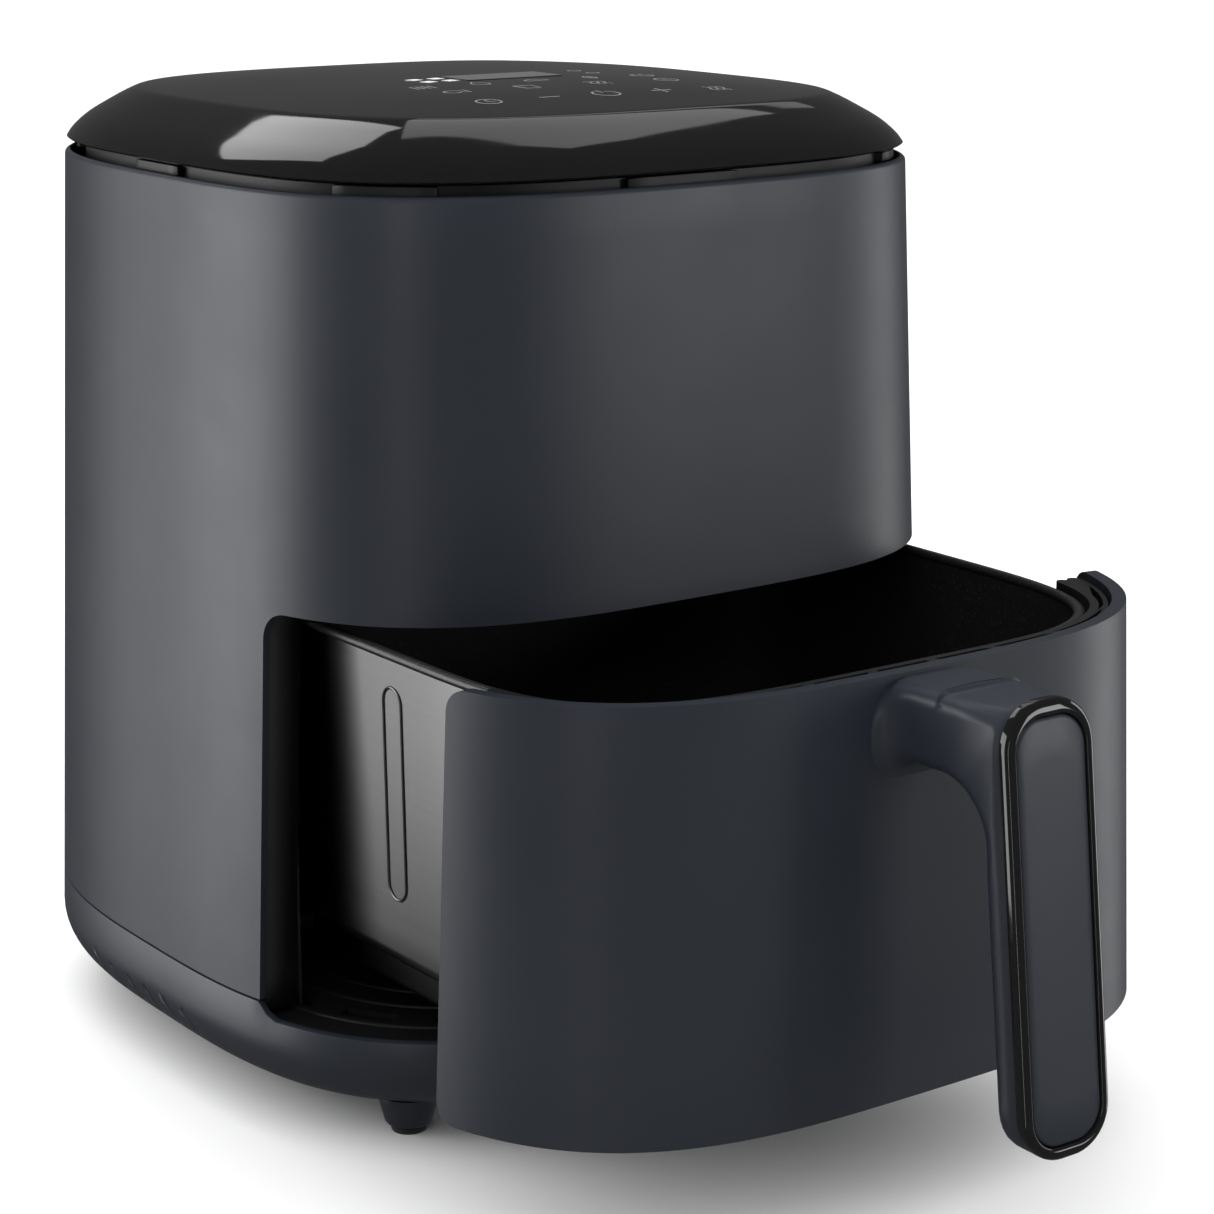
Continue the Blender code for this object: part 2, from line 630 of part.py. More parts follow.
def make_electrics(frame):
    plate = block((-CONTROL_HALF, CONTROL_FRONT, CONTROL_Z),
                  (CONTROL_HALF, CONTROL_BACK, CONTROL_Z + BOARD_THICK))
    board = add("control_board", plate, BOARD, frame)
    join(board, block((-DISPLAY_HALF + 0.002, DISPLAY_FRONT + 0.0015, CONTROL_Z + 0.0010),
                      (DISPLAY_HALF - 0.002, DISPLAY_BACK - 0.0015, 0.3240)))
    plate = block((POWER_NEAR_X, -POWER_HALF_Y, POWER_Z), (POWER_FAR_X, POWER_HALF_Y, POWER_Z + BOARD_THICK))
    power = add("power_board", plate, BOARD, frame)
    join(power, block((0.060, -0.030, POWER_Z + 0.0010), (0.078, -0.006, POWER_Z + 0.0200)))
    join(power, rod((0.090, 0.020, POWER_Z + 0.0010), (0.090, 0.020, POWER_Z + 0.0220), 0.0070, 16))
    cutout = add("thermal_cutout", rod((CUTOUT_X, CUTOUT_Y, LINER_ROOF + 2 * GAP),
                                       (CUTOUT_X, CUTOUT_Y, CUTOUT_TOP), CUTOUT_RADIUS, 16), BLACK, frame)
    join(cutout, block((CUTOUT_X - 0.003, CUTOUT_Y - 0.003, CUTOUT_TOP - 0.001),
                       (CUTOUT_X + 0.003, CUTOUT_Y + 0.003, CUTOUT_TOP + 0.004)))
    sensor_top = LINER_ROOF - STEEL_WALL - GAP
    add("temperature_sensor", rod((SENSOR_X, SENSOR_Y, SENSOR_LOW), (SENSOR_X, SENSOR_Y, sensor_top),
                                  SENSOR_RADIUS, 12), PLATED, frame)

    grille_y = BACK_DEPTH + 0.0024
    slots = []
    for i in range(5):
        low = GRILLE_SLOT_LOW + 2 * GRILLE_SLOT_TALL * i
        high = low + GRILLE_SLOT_TALL
        slots.append([(-GRILLE_SLOT_HALF, low), (GRILLE_SLOT_HALF, low),
                      (GRILLE_SLOT_HALF, high), (-GRILLE_SLOT_HALF, high)])
    shell = bpy.data.objects["outer_shell"]
    cut(shell, block((-GRILLE_HALF - GAP, 0.10, GRILLE_LOW - GAP),
                     (GRILLE_HALF + GAP, 0.16, GRILLE_HIGH + GAP)))
    cut(shell, rod((CORD_X, 0.10, CORD_Z), (CORD_X, 0.16, CORD_Z), GLAND_RADIUS + GAP, 20))
    edge = rounded_box(-GRILLE_HALF, GRILLE_LOW, GRILLE_HALF, GRILLE_HIGH, 0.003)
    add("exhaust_grille", flat([edge] + slots, grille_y - GRILLE_THICK, grille_y, "Y"), BLACK, frame)
    collar = rod((CORD_X, GLAND_ROOT, CORD_Z), (CORD_X, GLAND_TIP, CORD_Z), GLAND_RADIUS, 20)
    gland = add("cord_gland", collar, BLACK, frame)
    cut(gland, rod((CORD_X, 0.12, CORD_Z), (CORD_X, 0.16, CORD_Z), CORD_RADIUS, 16))


def make_switch(frame):
    """A micro-switch behind the liner, whose plunger reaches through it towards the shut drawer."""
    x, z = 0.0, SWITCH_Z
    cut(bpy.data.objects["cavity_liner"], rod((x, 0.1000, z), (x, 0.1200, z), PLUNGER_RADIUS + 0.0010, 12))
    housing = add("switch_housing", block((x - SWITCH_HALF_X, LINER_BACK + 2 * GAP, z - SWITCH_HALF_Z),
                                          (x + SWITCH_HALF_X, SWITCH_BACK, z + SWITCH_HALF_Z)), BLACK, frame)
    cut(housing, rod((x, 0.1100, z), (x, PLUNGER_END + PLUNGER_TRAVEL + 0.0010, z),
                     PLUNGER_RADIUS + 0.0004, 12))
    axis = carrier("plunger_axis", frame, (x, 0, z))
    tip = BASKET_Y + BASKET_DEPTH + 0.0005
    add("switch_plunger", rod((0, tip, 0), (0, PLUNGER_END, 0), PLUNGER_RADIUS, 12), BLACK, axis)


def make_feet(frame):
    places = [(name + "_" + side, x, y) for name, y in (("front", -FOOT_Y), ("rear", FOOT_Y))
              for side, x in (("left", -FOOT_X), ("right", FOOT_X))]
    for name, x, y in places:
        turned("foot_" + name, [(0.0, FLOOR_GAP - GAP), (0.0098, FLOOR_GAP - GAP), (0.0090, 0.0080),
                                (0.0068, PAD_TALL + GAP), (0.0, PAD_TALL + GAP)], SLATE, frame, (x, y, 0))
        turned("foot_pad_" + name, [(0.0, PAD_TALL), (0.0056, PAD_TALL), (0.0058, 0.0), (0.0, 0.0)],
               RUBBER, frame, (x, y, 0), 20)
    for number, (x, y) in enumerate(screw_places(), 1):
        turned("base_screw_%d" % number, [
            (0.0, SCREW_TOP), (SCREW_RADIUS, SCREW_TOP), (SCREW_RADIUS, FLOOR_GAP - GAP),
            (SCREW_HEAD, FLOOR_GAP - GAP), (SCREW_HEAD, FLOOR_GAP - 0.0015),
            (0.0028, FLOOR_GAP - 0.0022), (0.0, FLOOR_GAP - 0.0022)],
               PLATED, frame, (x, y, 0), 12)


def make_drawer(drawer):
    top = OPENING_TOP - PANEL_CLEARANCE
    sill = OPENING_SILL + PANEL_CLEARANCE
    panel = add("drawer_front", loft([
        body_ring(sill, 0.0010), body_ring(sill + 0.0020, 0), body_ring(top - 0.0010, 0),
        body_ring(top, 0.0010), body_ring(top, PANEL_WALL),
        body_ring(sill, PANEL_WALL)], closed=True), SLATE, drawer)
    keep = rounded_box(-FAR, sill - 0.0005, PANEL_EDGE, top + 0.0005, 0.0070)
    boolean(panel, flat([keep], -FAR, FAR, "X"), "INTERSECT")

    make_carrier_band(drawer, "drawer_frame", FRAME_LOW, top - 0.0012, pockets=True)
    make_carrier_band(drawer, "lower_brace", BRACE_LOW, BRACE_HIGH, pockets=False)

    wall = BASKET_WALL
    rings = [basket_ring(BASKET_FLOOR_Z, 0.0220), basket_ring(BASKET_FLOOR_Z, 0.0130),
             basket_ring(BASKET_FLOOR_Z + 0.0030, 0.0100), basket_ring(BASKET_STEP_Z - 0.0006, 0.0096),
             basket_ring(BASKET_STEP_Z, 0.0040), basket_ring(BASKET_STEP_Z + 0.0010, 0.0036),
             basket_ring(BASKET_RIM_Z - 0.0030, 0.0018), basket_ring(BASKET_RIM_Z - 0.0016, 0.0),
             basket_ring(BASKET_RIM_Z, 0.0006), basket_ring(BASKET_RIM_Z, 0.0030),
             basket_ring(BASKET_STEP_Z + 0.0020, 0.0036 + wall),
             basket_ring(BASKET_STEP_Z + 0.0010, 0.0096 + wall),
             basket_ring(BASKET_FLOOR_Z + 0.0034, 0.0100 + wall), basket_ring(BASKET_FLOOR_Z + wall, 0.0136)]
    add("basket", loft(rings), SATIN, drawer)


def make_carrier_band(drawer, name, low, high, pockets):
    """A black moulding that fills the space between the drawer's skin and the basket."""
    middle = (low + high) / 2
    count = 36
    outer = []
    for i in range(count + 1):
        point = body_point(math.radians(206 + 128 * i / count), high, PANEL_WALL + 3 * GAP)
        if point[1] < OPENING_BACK - 0.0026:
            outer.append(point)
    inset = -0.0004 if pockets else 0.0024
    inner = []
    for i in range(count + 1):
        x, y = superellipse(math.radians(208 + 124 * i / count), BASKET_WIDTH - inset, BASKET_DEPTH - inset,
                            BASKET_POWER)
        if y + BASKET_Y < OPENING_BACK - 0.0026:
            inner.append((x, y + BASKET_Y))
    holes = []
    if pockets:
        for i in range(POCKET_COUNT):
            start = 217.5 + 12.0 * i
            angles = [math.radians(start + 9.0 * k / 3) for k in range(4)]
            hole = [body_point(a, middle, PANEL_WALL + 0.0022) for a in angles]
            for a in reversed(angles):
                x, y = superellipse(a, BASKET_WIDTH + 0.0024, BASKET_DEPTH + 0.0024, BASKET_POWER)
                hole.append((x, y + BASKET_Y))
            holes.append(hole)
    add(name, flat([outer + list(reversed(inner))] + holes, low, high), BLACK, drawer)


def lean(z):
    """How far the handle's front face stands forward at a height."""
    return GRIP_FRONT - GRIP_LEAN * (GRIP_FRONT_Z - z)


def tilted(points):
    """Grip outline points (depth behind the leaning front face, z) as (y, z)."""
    return [(lean(z) + depth, z) for depth, z in points]


def make_handle(drawer):
    root = -(FRONT_DEPTH + SLOPE_FRONT * (RIM_Z - 0.16)) - 0.0008
    arm = [(root, 0.1400), (root, ARM_TOP - 0.0005), (ARM_SEAM + GAP, ARM_TOP), (ARM_SEAM + GAP, ARM_BOTTOM),
           (root - 0.010, ARM_BOTTOM - 0.0012)]
    half = HANDLE_HALF
    add("handle_arm", flat([arm], -half, half, "X"), SLATE, drawer)

    corner = GRIP_CORNER
    centre = (lean(ARM_BOTTOM) + GRIP_DEPTH + corner, ARM_BOTTOM - corner)
    back = GRIP_DEPTH
    grip = [(ARM_SEAM - GAP, ARM_TOP), (ARM_SEAM - GAP, ARM_BOTTOM)]
    grip += [point for point in arc(centre, corner, 90, 180) if point[0] < ARM_SEAM - GAP - 0.0005]
    grip += tilted([(back, 0.100), (back, GRIP_BOTTOM + 0.004), (back - 0.004, GRIP_BOTTOM),
                    (BEZEL_DEPTH + GAP, GRIP_BOTTOM), (BEZEL_DEPTH + GAP, GRIP_TOP - 0.002)])
    grip.append((lean(GRIP_TOP) + 0.012, GRIP_TOP - 0.001))
    add("handle_grip", flat([grip], -half, half, "X"), SLATE, drawer)

    outline = rounded_box(-half, GRIP_BOTTOM, half, GRIP_TOP, BEZEL_RADIUS, 5)
    inset = rounded_box(-INSERT_HALF, INSERT_LOW, INSERT_HALF, INSERT_HIGH, INSERT_RADIUS, 5)
    window = rounded_box(-INSERT_HALF - GAP, INSERT_LOW - GAP, INSERT_HALF + GAP, INSERT_HIGH + GAP,
                         INSERT_RADIUS + GAP, 5)
    for name, look, outlines, near, far in (
            ("handle_bezel", GLOSS, [outline, window], 0.0, BEZEL_DEPTH),
            ("handle_insert", SLATE, [inset], 0.0006, BEZEL_DEPTH)):
        piece = add(name, flat(outlines, near, far, "Y"), look, drawer)
        for vert in piece.data.vertices:
            vert.co.y += lean(vert.co.z)


def make_crisper(crisper):
    slots = []
    for row in range(-4, 5):
        y = BASKET_Y + row * CRISPER_ROW
        for column in (-1, 0, 1):
            x = column * CRISPER_COLUMN
            slots.append(rounded_box(x - CRISPER_SLOT_HALF_X, y - CRISPER_SLOT_HALF_Y,
                                     x + CRISPER_SLOT_HALF_X, y + CRISPER_SLOT_HALF_Y, 0.0030, 1))
    outline = [(x, y) for x, y, _ in basket_ring(CRISPER_Z, CRISPER_INSET)]
    plate = flat([outline] + slots, CRISPER_Z, CRISPER_Z + CRISPER_THICK)
    add("crisper_plate", plate, DARK, crisper)
    places = [(x, y + BASKET_Y) for x in (-BUMPER_X, BUMPER_X) for y in (-BUMPER_Y, BUMPER_Y)]
    foot = BASKET_FLOOR_Z + 0.0015
    for number, (x, y) in enumerate(places, 1):
        turned("crisper_bumper_%d" % number, [
            (0.0, CRISPER_Z - GAP), (0.0050, CRISPER_Z - GAP), (0.0042, foot), (0.0, foot)],
               SILICONE, crisper, (x, y, 0), 12)


clear_scene()
parts = new_collection("air_fryer")
cutters = new_collection("cutters")
shift = (-(HANDLE_TIP - DRAWER_OUT) - GLAND_TIP) / 2
body_frame = carrier("air_fryer_frame", None, (0, shift, 0))
drawer_carrier = carrier("drawer_carrier", body_frame, (0, -DRAWER_OUT, 0))
crisper_carrier = carrier("crisper_carrier", drawer_carrier, (0, 0, 0))
make_casing(body_frame)
make_cavity(body_frame)
make_heater(body_frame)
make_electrics(body_frame)
make_switch(body_frame)
make_feet(body_frame)
make_drawer(drawer_carrier)
make_handle(drawer_carrier)
make_crisper(crisper_carrier)
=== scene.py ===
"""Looks for the drawer air fryer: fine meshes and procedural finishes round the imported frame.

Every piece is drawn about the body's upright axis in metres, as if the drawer were shut, and then
carried to its place in the frame. The front faces -Y.
"""

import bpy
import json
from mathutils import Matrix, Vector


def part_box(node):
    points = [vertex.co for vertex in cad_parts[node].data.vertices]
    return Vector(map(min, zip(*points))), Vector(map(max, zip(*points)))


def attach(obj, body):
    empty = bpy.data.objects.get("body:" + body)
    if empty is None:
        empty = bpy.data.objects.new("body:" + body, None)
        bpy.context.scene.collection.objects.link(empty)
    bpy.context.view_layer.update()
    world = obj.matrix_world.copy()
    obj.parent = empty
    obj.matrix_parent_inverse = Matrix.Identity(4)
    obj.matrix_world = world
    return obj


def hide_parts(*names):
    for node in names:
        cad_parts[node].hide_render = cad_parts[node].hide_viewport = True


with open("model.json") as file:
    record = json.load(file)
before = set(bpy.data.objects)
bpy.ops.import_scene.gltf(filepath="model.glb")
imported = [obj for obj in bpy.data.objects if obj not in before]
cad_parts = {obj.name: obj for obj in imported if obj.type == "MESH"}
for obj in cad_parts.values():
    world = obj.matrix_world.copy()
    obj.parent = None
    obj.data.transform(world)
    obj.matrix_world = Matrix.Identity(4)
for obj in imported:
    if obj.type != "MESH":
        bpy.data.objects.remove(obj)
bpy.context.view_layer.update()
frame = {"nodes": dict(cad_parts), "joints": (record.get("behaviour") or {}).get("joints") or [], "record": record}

import json
import math

import bmesh
import bpy
from mathutils import Matrix, Vector

slide = next(joint for joint in frame["joints"] if joint["name"] == "drawer_slide")
BODY_Y = sum(corner.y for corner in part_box("motor_shaft")) / 2
DRAWER_OUT = -slide["range_m"][0]
IN_BODY = Matrix.Translation((0, BODY_Y, 0))
IN_DRAWER = Matrix.Translation((0, BODY_Y - DRAWER_OUT, 0))

# Body section: a superellipse that widens towards the base.
RIM_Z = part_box("outer_shell")[1].z
SEAM_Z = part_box("outer_shell")[0].z
HALF_WIDTH = 0.1258
FRONT_DEPTH = 0.1316
BACK_DEPTH = 0.1314
SLOPE_SIDE = 0.0400
SLOPE_FRONT = 0.0328
SLOPE_BACK = 0.0422
POWER_FRONT = 3.3
POWER_BACK = 2.8
FINE = 256

# Casing.
SHELL_WALL = 0.0024
RIM_ROUND = 0.0016
BASE_FILLET = 0.0195
FLOOR_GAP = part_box("base_pan")[0].z
SEAM_GAP = 0.0006
VENT_COUNT = 6
VENT_FIRST_Y = 0.0300
VENT_PITCH = 0.0128
VENT_WIDTH = 0.0016
VENT_LEAN = 0.0070
VENT_LOW = 0.0215
VENT_HIGH = 0.0280
VENT_INNER_X = 0.110
VENT_OUTER_X = 0.150
CASING_STEPS = 200
FRONT_STEPS = 110
LID_EDGE_Z, LID_TOP_Z = (corner.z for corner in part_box("lid_cover"))

# Drawer opening and the drawer's skin.
SKIN_LOW, SKIN_HIGH = (corner.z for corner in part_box("drawer_front"))
PANEL_CLEARANCE = 0.0008
OPENING_SILL = SKIN_LOW - PANEL_CLEARANCE
OPENING_TOP = SKIN_HIGH + PANEL_CLEARANCE
OPENING_BACK = -0.0712
OPENING_RADIUS = 0.0085
SKIN_BACK = OPENING_BACK - 0.0012
SKIN_RADIUS = 0.0070
SKIN_LIP = 0.0046

# Basket.
BASKET_FLOOR_Z, BASKET_RIM_Z = (corner.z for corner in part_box("basket"))
BASKET_Y = -0.0165
BASKET_WIDTH = 0.1115
BASKET_DEPTH = 0.1040
BASKET_POWER = 4.2
BASKET_STEP_Z = 0.0668
BEAD = 0.0017
WALL_LOW_INSET = 0.0035
WALL_LEAN = 0.0016

# Handle. The grip leans outwards going down.
HANDLE_HALF = 0.0166
GRIP_LEAN = 0.115
GRIP_FRONT = -0.1905
GRIP_FRONT_Z = 0.138
GRIP_DEPTH = 0.0138
BEZEL_DEPTH = 0.0038
BEZEL_RADIUS = 0.0140
GRIP_BOTTOM, GRIP_TOP = (corner.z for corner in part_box("handle_bezel"))
ARM_TOP = 0.1705
ARM_BOTTOM = 0.1475
ARM_SEAM = -0.1540
GRIP_CORNER = 0.0200
ARM_FLARE = 0.0095
SEAM_BOW = 11.0
SEAM_HALF = 0.0118
INLAY_RADIUS = 0.0095
INLAY_GAP = 0.0003

# Tray under the basket, and the ring and inner wall under the lid.
TRAY_SLOTS = 11
TRAY_SLOT_FIRST = 204
TRAY_SLOT_PITCH = 13.2
TRAY_SLOT_SWEEP = 8
RING_OUTER = 0.0066
RING_INNER = 0.0100
DAM_OUTER = 0.0104
DAM_INNER = 0.0118
DAM_RISE = 0.0050

# Printed touch marks, drawn in millimetres.
MARK_UNIT = 0.001
MARK_GROWTH = 1.35
MARK_STROKE = 0.00070
DOT_STROKE = 0.0042
DOT_HALF = 2.2

# Camera and studio.
LENS = 90.58
SENSOR = 36.0
CAMERA_PLACE = (-0.5762, -0.8779 + BODY_Y, 0.4074)
CAMERA_AIM = (0.56666, 0.78618, -0.24660)
FLOOR_HALF = 400.0
WORLD_STRENGTH = 0.10
SKY_STRENGTH = 4.2
SKY_ANGLE = 130


class Link:
    """A socket whose arithmetic adds Math nodes to its own finish."""

    def __init__(self, finish, socket):
        self.finish = finish
        self.socket = socket

    def __add__(self, other):
        return self.finish.maths("ADD", self, other)

    def __sub__(self, other):
        return self.finish.maths("SUBTRACT", self, other)

    def __rsub__(self, other):
        return self.finish.maths("SUBTRACT", other, self)

    def __mul__(self, other):
        return self.finish.maths("MULTIPLY", self, other)

    __radd__ = __add__
    __rmul__ = __mul__


class Finish:
    """One procedural material. Keyword values are uniform and go on the shader's own sockets."""

    def __init__(self, name, **uniform):
        self.material = bpy.data.materials.new(name)
        self.material.use_nodes = True
        self.tree = self.material.node_tree
        self.shader = self.tree.nodes["Principled BSDF"]
        for key, value in uniform.items():
            self.shader.inputs[key.replace("_", " ")].default_value = value
        self.place = self.node("TexCoord", out="Object")

    def node(self, kind, settings=None, sockets=None, out=0):
        made = self.tree.nodes.new("ShaderNode" + kind)
        for key, value in (settings or {}).items():
            if key == "stops":
                ramp = made.color_ramp
                while len(ramp.elements) < len(value):
                    ramp.elements.new(0.5)
                for element, (position, colour) in zip(ramp.elements, value):
                    element.position = position
                    element.color = (*colour, 1.0)
            else:
                setattr(made, key, value)
        for key, value in (sockets or {}).items():
            if isinstance(value, Link):
                self.tree.links.new(value.socket, made.inputs[key])
            else:
                made.inputs[key].default_value = value
        return Link(self, made.outputs[out])

    def maths(self, operation, first, second):
        return self.node("Math", {"operation": operation}, {0: first, 1: second})

    def noise(self, scale, detail=2.0, roughness=0.5, place=None):
        return self.node("TexNoise", None, {"Vector": place or self.place, "Scale": scale,
                                            "Detail": detail, "Roughness": roughness})

    def stretched(self, x, y, z):
        return self.node("VectorMath", {"operation": "MULTIPLY"}, {0: self.place, 1: (x, y, z)})

    def band(self, value, low, high):
        """0 below low, 1 above high and a smooth rise between."""
        return self.node("MapRange", {"interpolation_type": "SMOOTHSTEP"},
                         {"Value": value, "From Min": low, "From Max": high})

    def blend(self, factor, first, second):
        return self.node("Mix", {"data_type": "RGBA"},
                         {0: factor, 6: (*first, 1.0) if isinstance(first, tuple) else first,
                          7: (*second, 1.0) if isinstance(second, tuple) else second}, out=2)

    def feed(self, socket, value):
        self.tree.links.new(value.socket, self.shader.inputs[socket])

    def bump(self, height, distance, strength=1.0):
        self.feed("Normal", self.node("Bump", None, {"Height": height, "Distance": distance,
                                                     "Strength": strength}))


def moulded(name, dark, light, rough, grain, depth, **uniform):
    """Moulded plastic: a spark-eroded grain, slow cloudiness in colour and polish from handling."""
    made = Finish(name, **uniform)
    cloud = made.noise(9.0, 3.0)
    fleck = made.noise(grain * 2.2, 1.0)
    made.feed("Base Color", made.blend(made.band(cloud * 0.7 + fleck * 0.3, 0.35, 0.65), dark, light))
    rubbed = made.noise(34.0, 4.0, 0.6)
    made.feed("Roughness", rubbed * 0.10 + fleck * 0.06 + (rough - 0.08))
    made.bump(made.noise(grain, 3.0, 0.62) * 0.7 + fleck * 0.3, depth)
    return made


def polished(name, dark, light, rough, **uniform):
    """High-gloss moulding: faint wiping marks and dust change only its polish."""
    made = Finish(name, **uniform)
    wiped = made.noise(3.0, 4.0, 0.6, made.stretched(12.0, 3.0, 12.0))
    dust = made.band(made.noise(2600.0, 1.0), 0.70, 0.80)
    made.feed("Base Color", made.blend(dust * 0.5, dark, light))
    made.feed("Roughness", made.band(wiped, 0.35, 0.75) * 0.05 + dust * 0.15 + rough)
    made.bump(made.noise(14.0, 1.0), 0.00006, 0.5)
    return made


def drawn_metal(name, dark, light, rough, x, y, z, **uniform):
    """Sheet metal with fine drawing lines, stretched by the three scales."""
    made = Finish(name, Metallic=1.0, **uniform)
    lines = made.noise(1.0, 5.0, 0.65, made.stretched(x, y, z))
    cloud = made.noise(16.0, 3.0)
    made.feed("Base Color", made.blend(made.band(lines * 0.6 + cloud * 0.4, 0.35, 0.65), dark, light))
    made.feed("Roughness", lines * 0.05 + cloud * 0.05 + (rough - 0.05))
    made.bump(lines, 0.0000008)
    return made


def coated(name, dark, light, rough):
    """Non-stick coating: an orange-peel surface with pale mineral specks."""
    made = Finish(name)
    speck = made.band(made.noise(1500.0, 1.0), 0.66, 0.72)
    made.feed("Base Color", made.blend(speck, dark, light))
    made.feed("Roughness", made.noise(40.0, 3.0) * 0.14 + (rough - 0.07))
    made.bump(made.noise(900.0, 2.0), 0.00003)
    return made


def soft(name, dark, light, rough):
    """Rubber or silicone, dusty in patches."""
    made = Finish(name)
    bloom = made.noise(240.0, 4.0, 0.7)
    made.feed("Base Color", made.blend(made.band(bloom, 0.4, 0.7), dark, light))
    made.feed("Roughness", bloom * 0.12 + (rough - 0.06))
    made.bump(bloom, 0.00005)
    return made


def circuit(name):
    """Solder mask over copper tracks."""
    made = Finish(name)
    across = made.node("TexWave", {"bands_direction": "X"}, {"Vector": made.place, "Scale": 90.0,
                                                             "Distortion": 3.0}, out=1)
    track = made.band(across, 0.55, 0.62)
    mask = made.blend(made.noise(60.0), (0.012, 0.085, 0.035), (0.020, 0.125, 0.050))
    made.feed("Base Color", made.blend(track, mask, (0.045, 0.200, 0.085)))
    made.feed("Roughness", track * 0.15 + 0.35)
    made.bump(track, 0.00003)
    return made


def ink(name, colour, rough):
    """Printed touch marks, slightly uneven in cover."""
    made = Finish(name)
    cover = made.noise(900.0, 2.0)
    worn = tuple(0.82 * part for part in colour)
    made.feed("Base Color", made.blend(made.band(cover, 0.3, 0.7), worn, colour))
    made.feed("Roughness", cover * 0.1 + rough)
    return made


slate = moulded("slate_plastic", (0.0135, 0.0165, 0.0235), (0.0165, 0.0198, 0.0275), 0.42, 1500.0, 0.00003)
black = moulded("black_plastic", (0.0050, 0.0052, 0.0056), (0.0078, 0.0080, 0.0085), 0.50, 1300.0, 0.00005)
gloss = polished("gloss_black", (0.0055, 0.0056, 0.0060), (0.040, 0.040, 0.042), 0.045, IOR=1.5)
smoke = polished("display_smoke", (0.105, 0.106, 0.110), (0.135, 0.135, 0.139), 0.30)
satin = drawn_metal("satin_steel", (0.110, 0.110, 0.110), (0.120, 0.120, 0.120), 0.30, 9.0, 9.0, 900.0)
plated = drawn_metal("plated_steel", (0.46, 0.46, 0.46), (0.60, 0.60, 0.59), 0.34, 60.0, 900.0, 60.0)
coating = coated("dark_coating", (0.0125, 0.0125, 0.0130), (0.060, 0.060, 0.060), 0.36)
rubber = soft("black_rubber", (0.008, 0.008, 0.008), (0.018, 0.018, 0.018), 0.85)
silicone = soft("grey_silicone", (0.13, 0.13, 0.14), (0.18, 0.18, 0.19), 0.68)
board = circuit("green_board")
# Painted shade: a darker copy of the plated steel for the slide rails, which sit in shadow inside the casing.
shaded_rail_steel = drawn_metal("shaded_rail_steel", (0.040, 0.040, 0.041), (0.060, 0.060, 0.061), 0.55, 60.0, 900.0, 60.0)
element = drawn_metal("heater_steel", (0.055, 0.045, 0.038), (0.15, 0.13, 0.115), 0.42, 220.0, 220.0, 220.0)
brass = drawn_metal("brass", (0.50, 0.36, 0.14), (0.66, 0.50, 0.22), 0.30, 40.0, 40.0, 1500.0)
marks = ink("touch_marks", (0.22, 0.22, 0.23), 0.35)
bright_marks = ink("display_marks", (0.86, 0.87, 0.88), 0.30)

finish_for = {"slate_plastic": slate, "gloss_black": gloss, "black_plastic": black, "display_smoke": smoke,
              "satin_steel": satin, "plated_steel": plated, "dark_coating": coating,
              "black_rubber": rubber, "grey_silicone": silicone, "green_board": board,
              "heater_steel": element, "brass": brass}
for part in frame["record"]["subparts"]:
    node_mesh = frame["nodes"][part["node"]].data
    node_mesh.materials.clear()
    # The slide rails take the darker steel as painted shade in place of their plated finish.
    rail_in_painted_shade = part["node"].startswith("slide_rail")
    node_mesh.materials.append((shaded_rail_steel if rail_in_painted_shade else finish_for[part["material_slot"]]).material)


def superellipse(angle, half_x, half_y, power):
    cosine, sine = math.cos(angle), math.sin(angle)
    radius = (abs(cosine / half_x) ** power + abs(sine / half_y) ** power) ** (-1 / power)
    return radius * cosine, radius * sine


def body_point(angle, z, inset=0.0):
    drop = RIM_Z - z
    half_x = HALF_WIDTH + SLOPE_SIDE * drop - inset
    if math.sin(angle) < 0:
        return superellipse(angle, half_x, FRONT_DEPTH + SLOPE_FRONT * drop - inset, POWER_FRONT)
    return superellipse(angle, half_x, BACK_DEPTH + SLOPE_BACK * drop - inset, POWER_BACK)


def body_ring(z, inset, steps=FINE):
    return [(*body_point(math.tau * i / steps, z, inset), z) for i in range(steps)]


def edge_angle(y, z, inset=0.0):
    """The angle on the right of the body's front half at which its section is at depth y."""
    half_x = HALF_WIDTH + SLOPE_SIDE * (RIM_Z - z) - inset
    half_y = FRONT_DEPTH + SLOPE_FRONT * (RIM_Z - z) - inset
    x = half_x * (1 - abs(y / half_y) ** POWER_FRONT) ** (1 / POWER_FRONT)
    return math.atan2(y, x)


def basket_point(angle, inset):
    x, y = superellipse(angle, BASKET_WIDTH - inset, BASKET_DEPTH - inset, BASKET_POWER)
    return x, y + BASKET_Y


def spread(low, high, count):
    return [low + (high - low) * i / count for i in range(count + 1)]


def smooth_step(value):
    value = min(max(value, 0.0), 1.0)
    return value * value * (3 - 2 * value)


def arc(centre, radius, start, end, count=8):
    """Points on an arc, with angles in degrees."""
    turns = [math.radians(a) for a in spread(start, end, count)]
    return [(centre[0] + radius * math.cos(a), centre[1] + radius * math.sin(a)) for a in turns]


def rounded_box(low_u, low_v, high_u, high_v, radius, count=8):
    corners = ((high_u - radius, high_v - radius, 0), (low_u + radius, high_v - radius, 90),
               (low_u + radius, low_v + radius, 180), (high_u - radius, low_v + radius, 270))
    points = []
    for u, v, start in corners:
        points += arc((u, v), radius, start, start + 90, count)
    return points


def skin(rows, closed_rows=False, closed_columns=False, caps=False):
    """A sheet of quads through rows of points."""
    bm = bmesh.new()
    grid = [[bm.verts.new(point) for point in row] for row in rows]
    pairs = list(zip(grid, grid[1:]))
    if closed_rows:
        pairs.append((grid[-1], grid[0]))
    for low, high in pairs:
        count = len(low)
        for i in range(count if closed_columns else count - 1):
            j = (i + 1) % count
            bm.faces.new((low[i], low[j], high[j], high[i]))
    if caps:
        bm.faces.new(grid[0])
        bm.faces.new(grid[-1])
    return bm


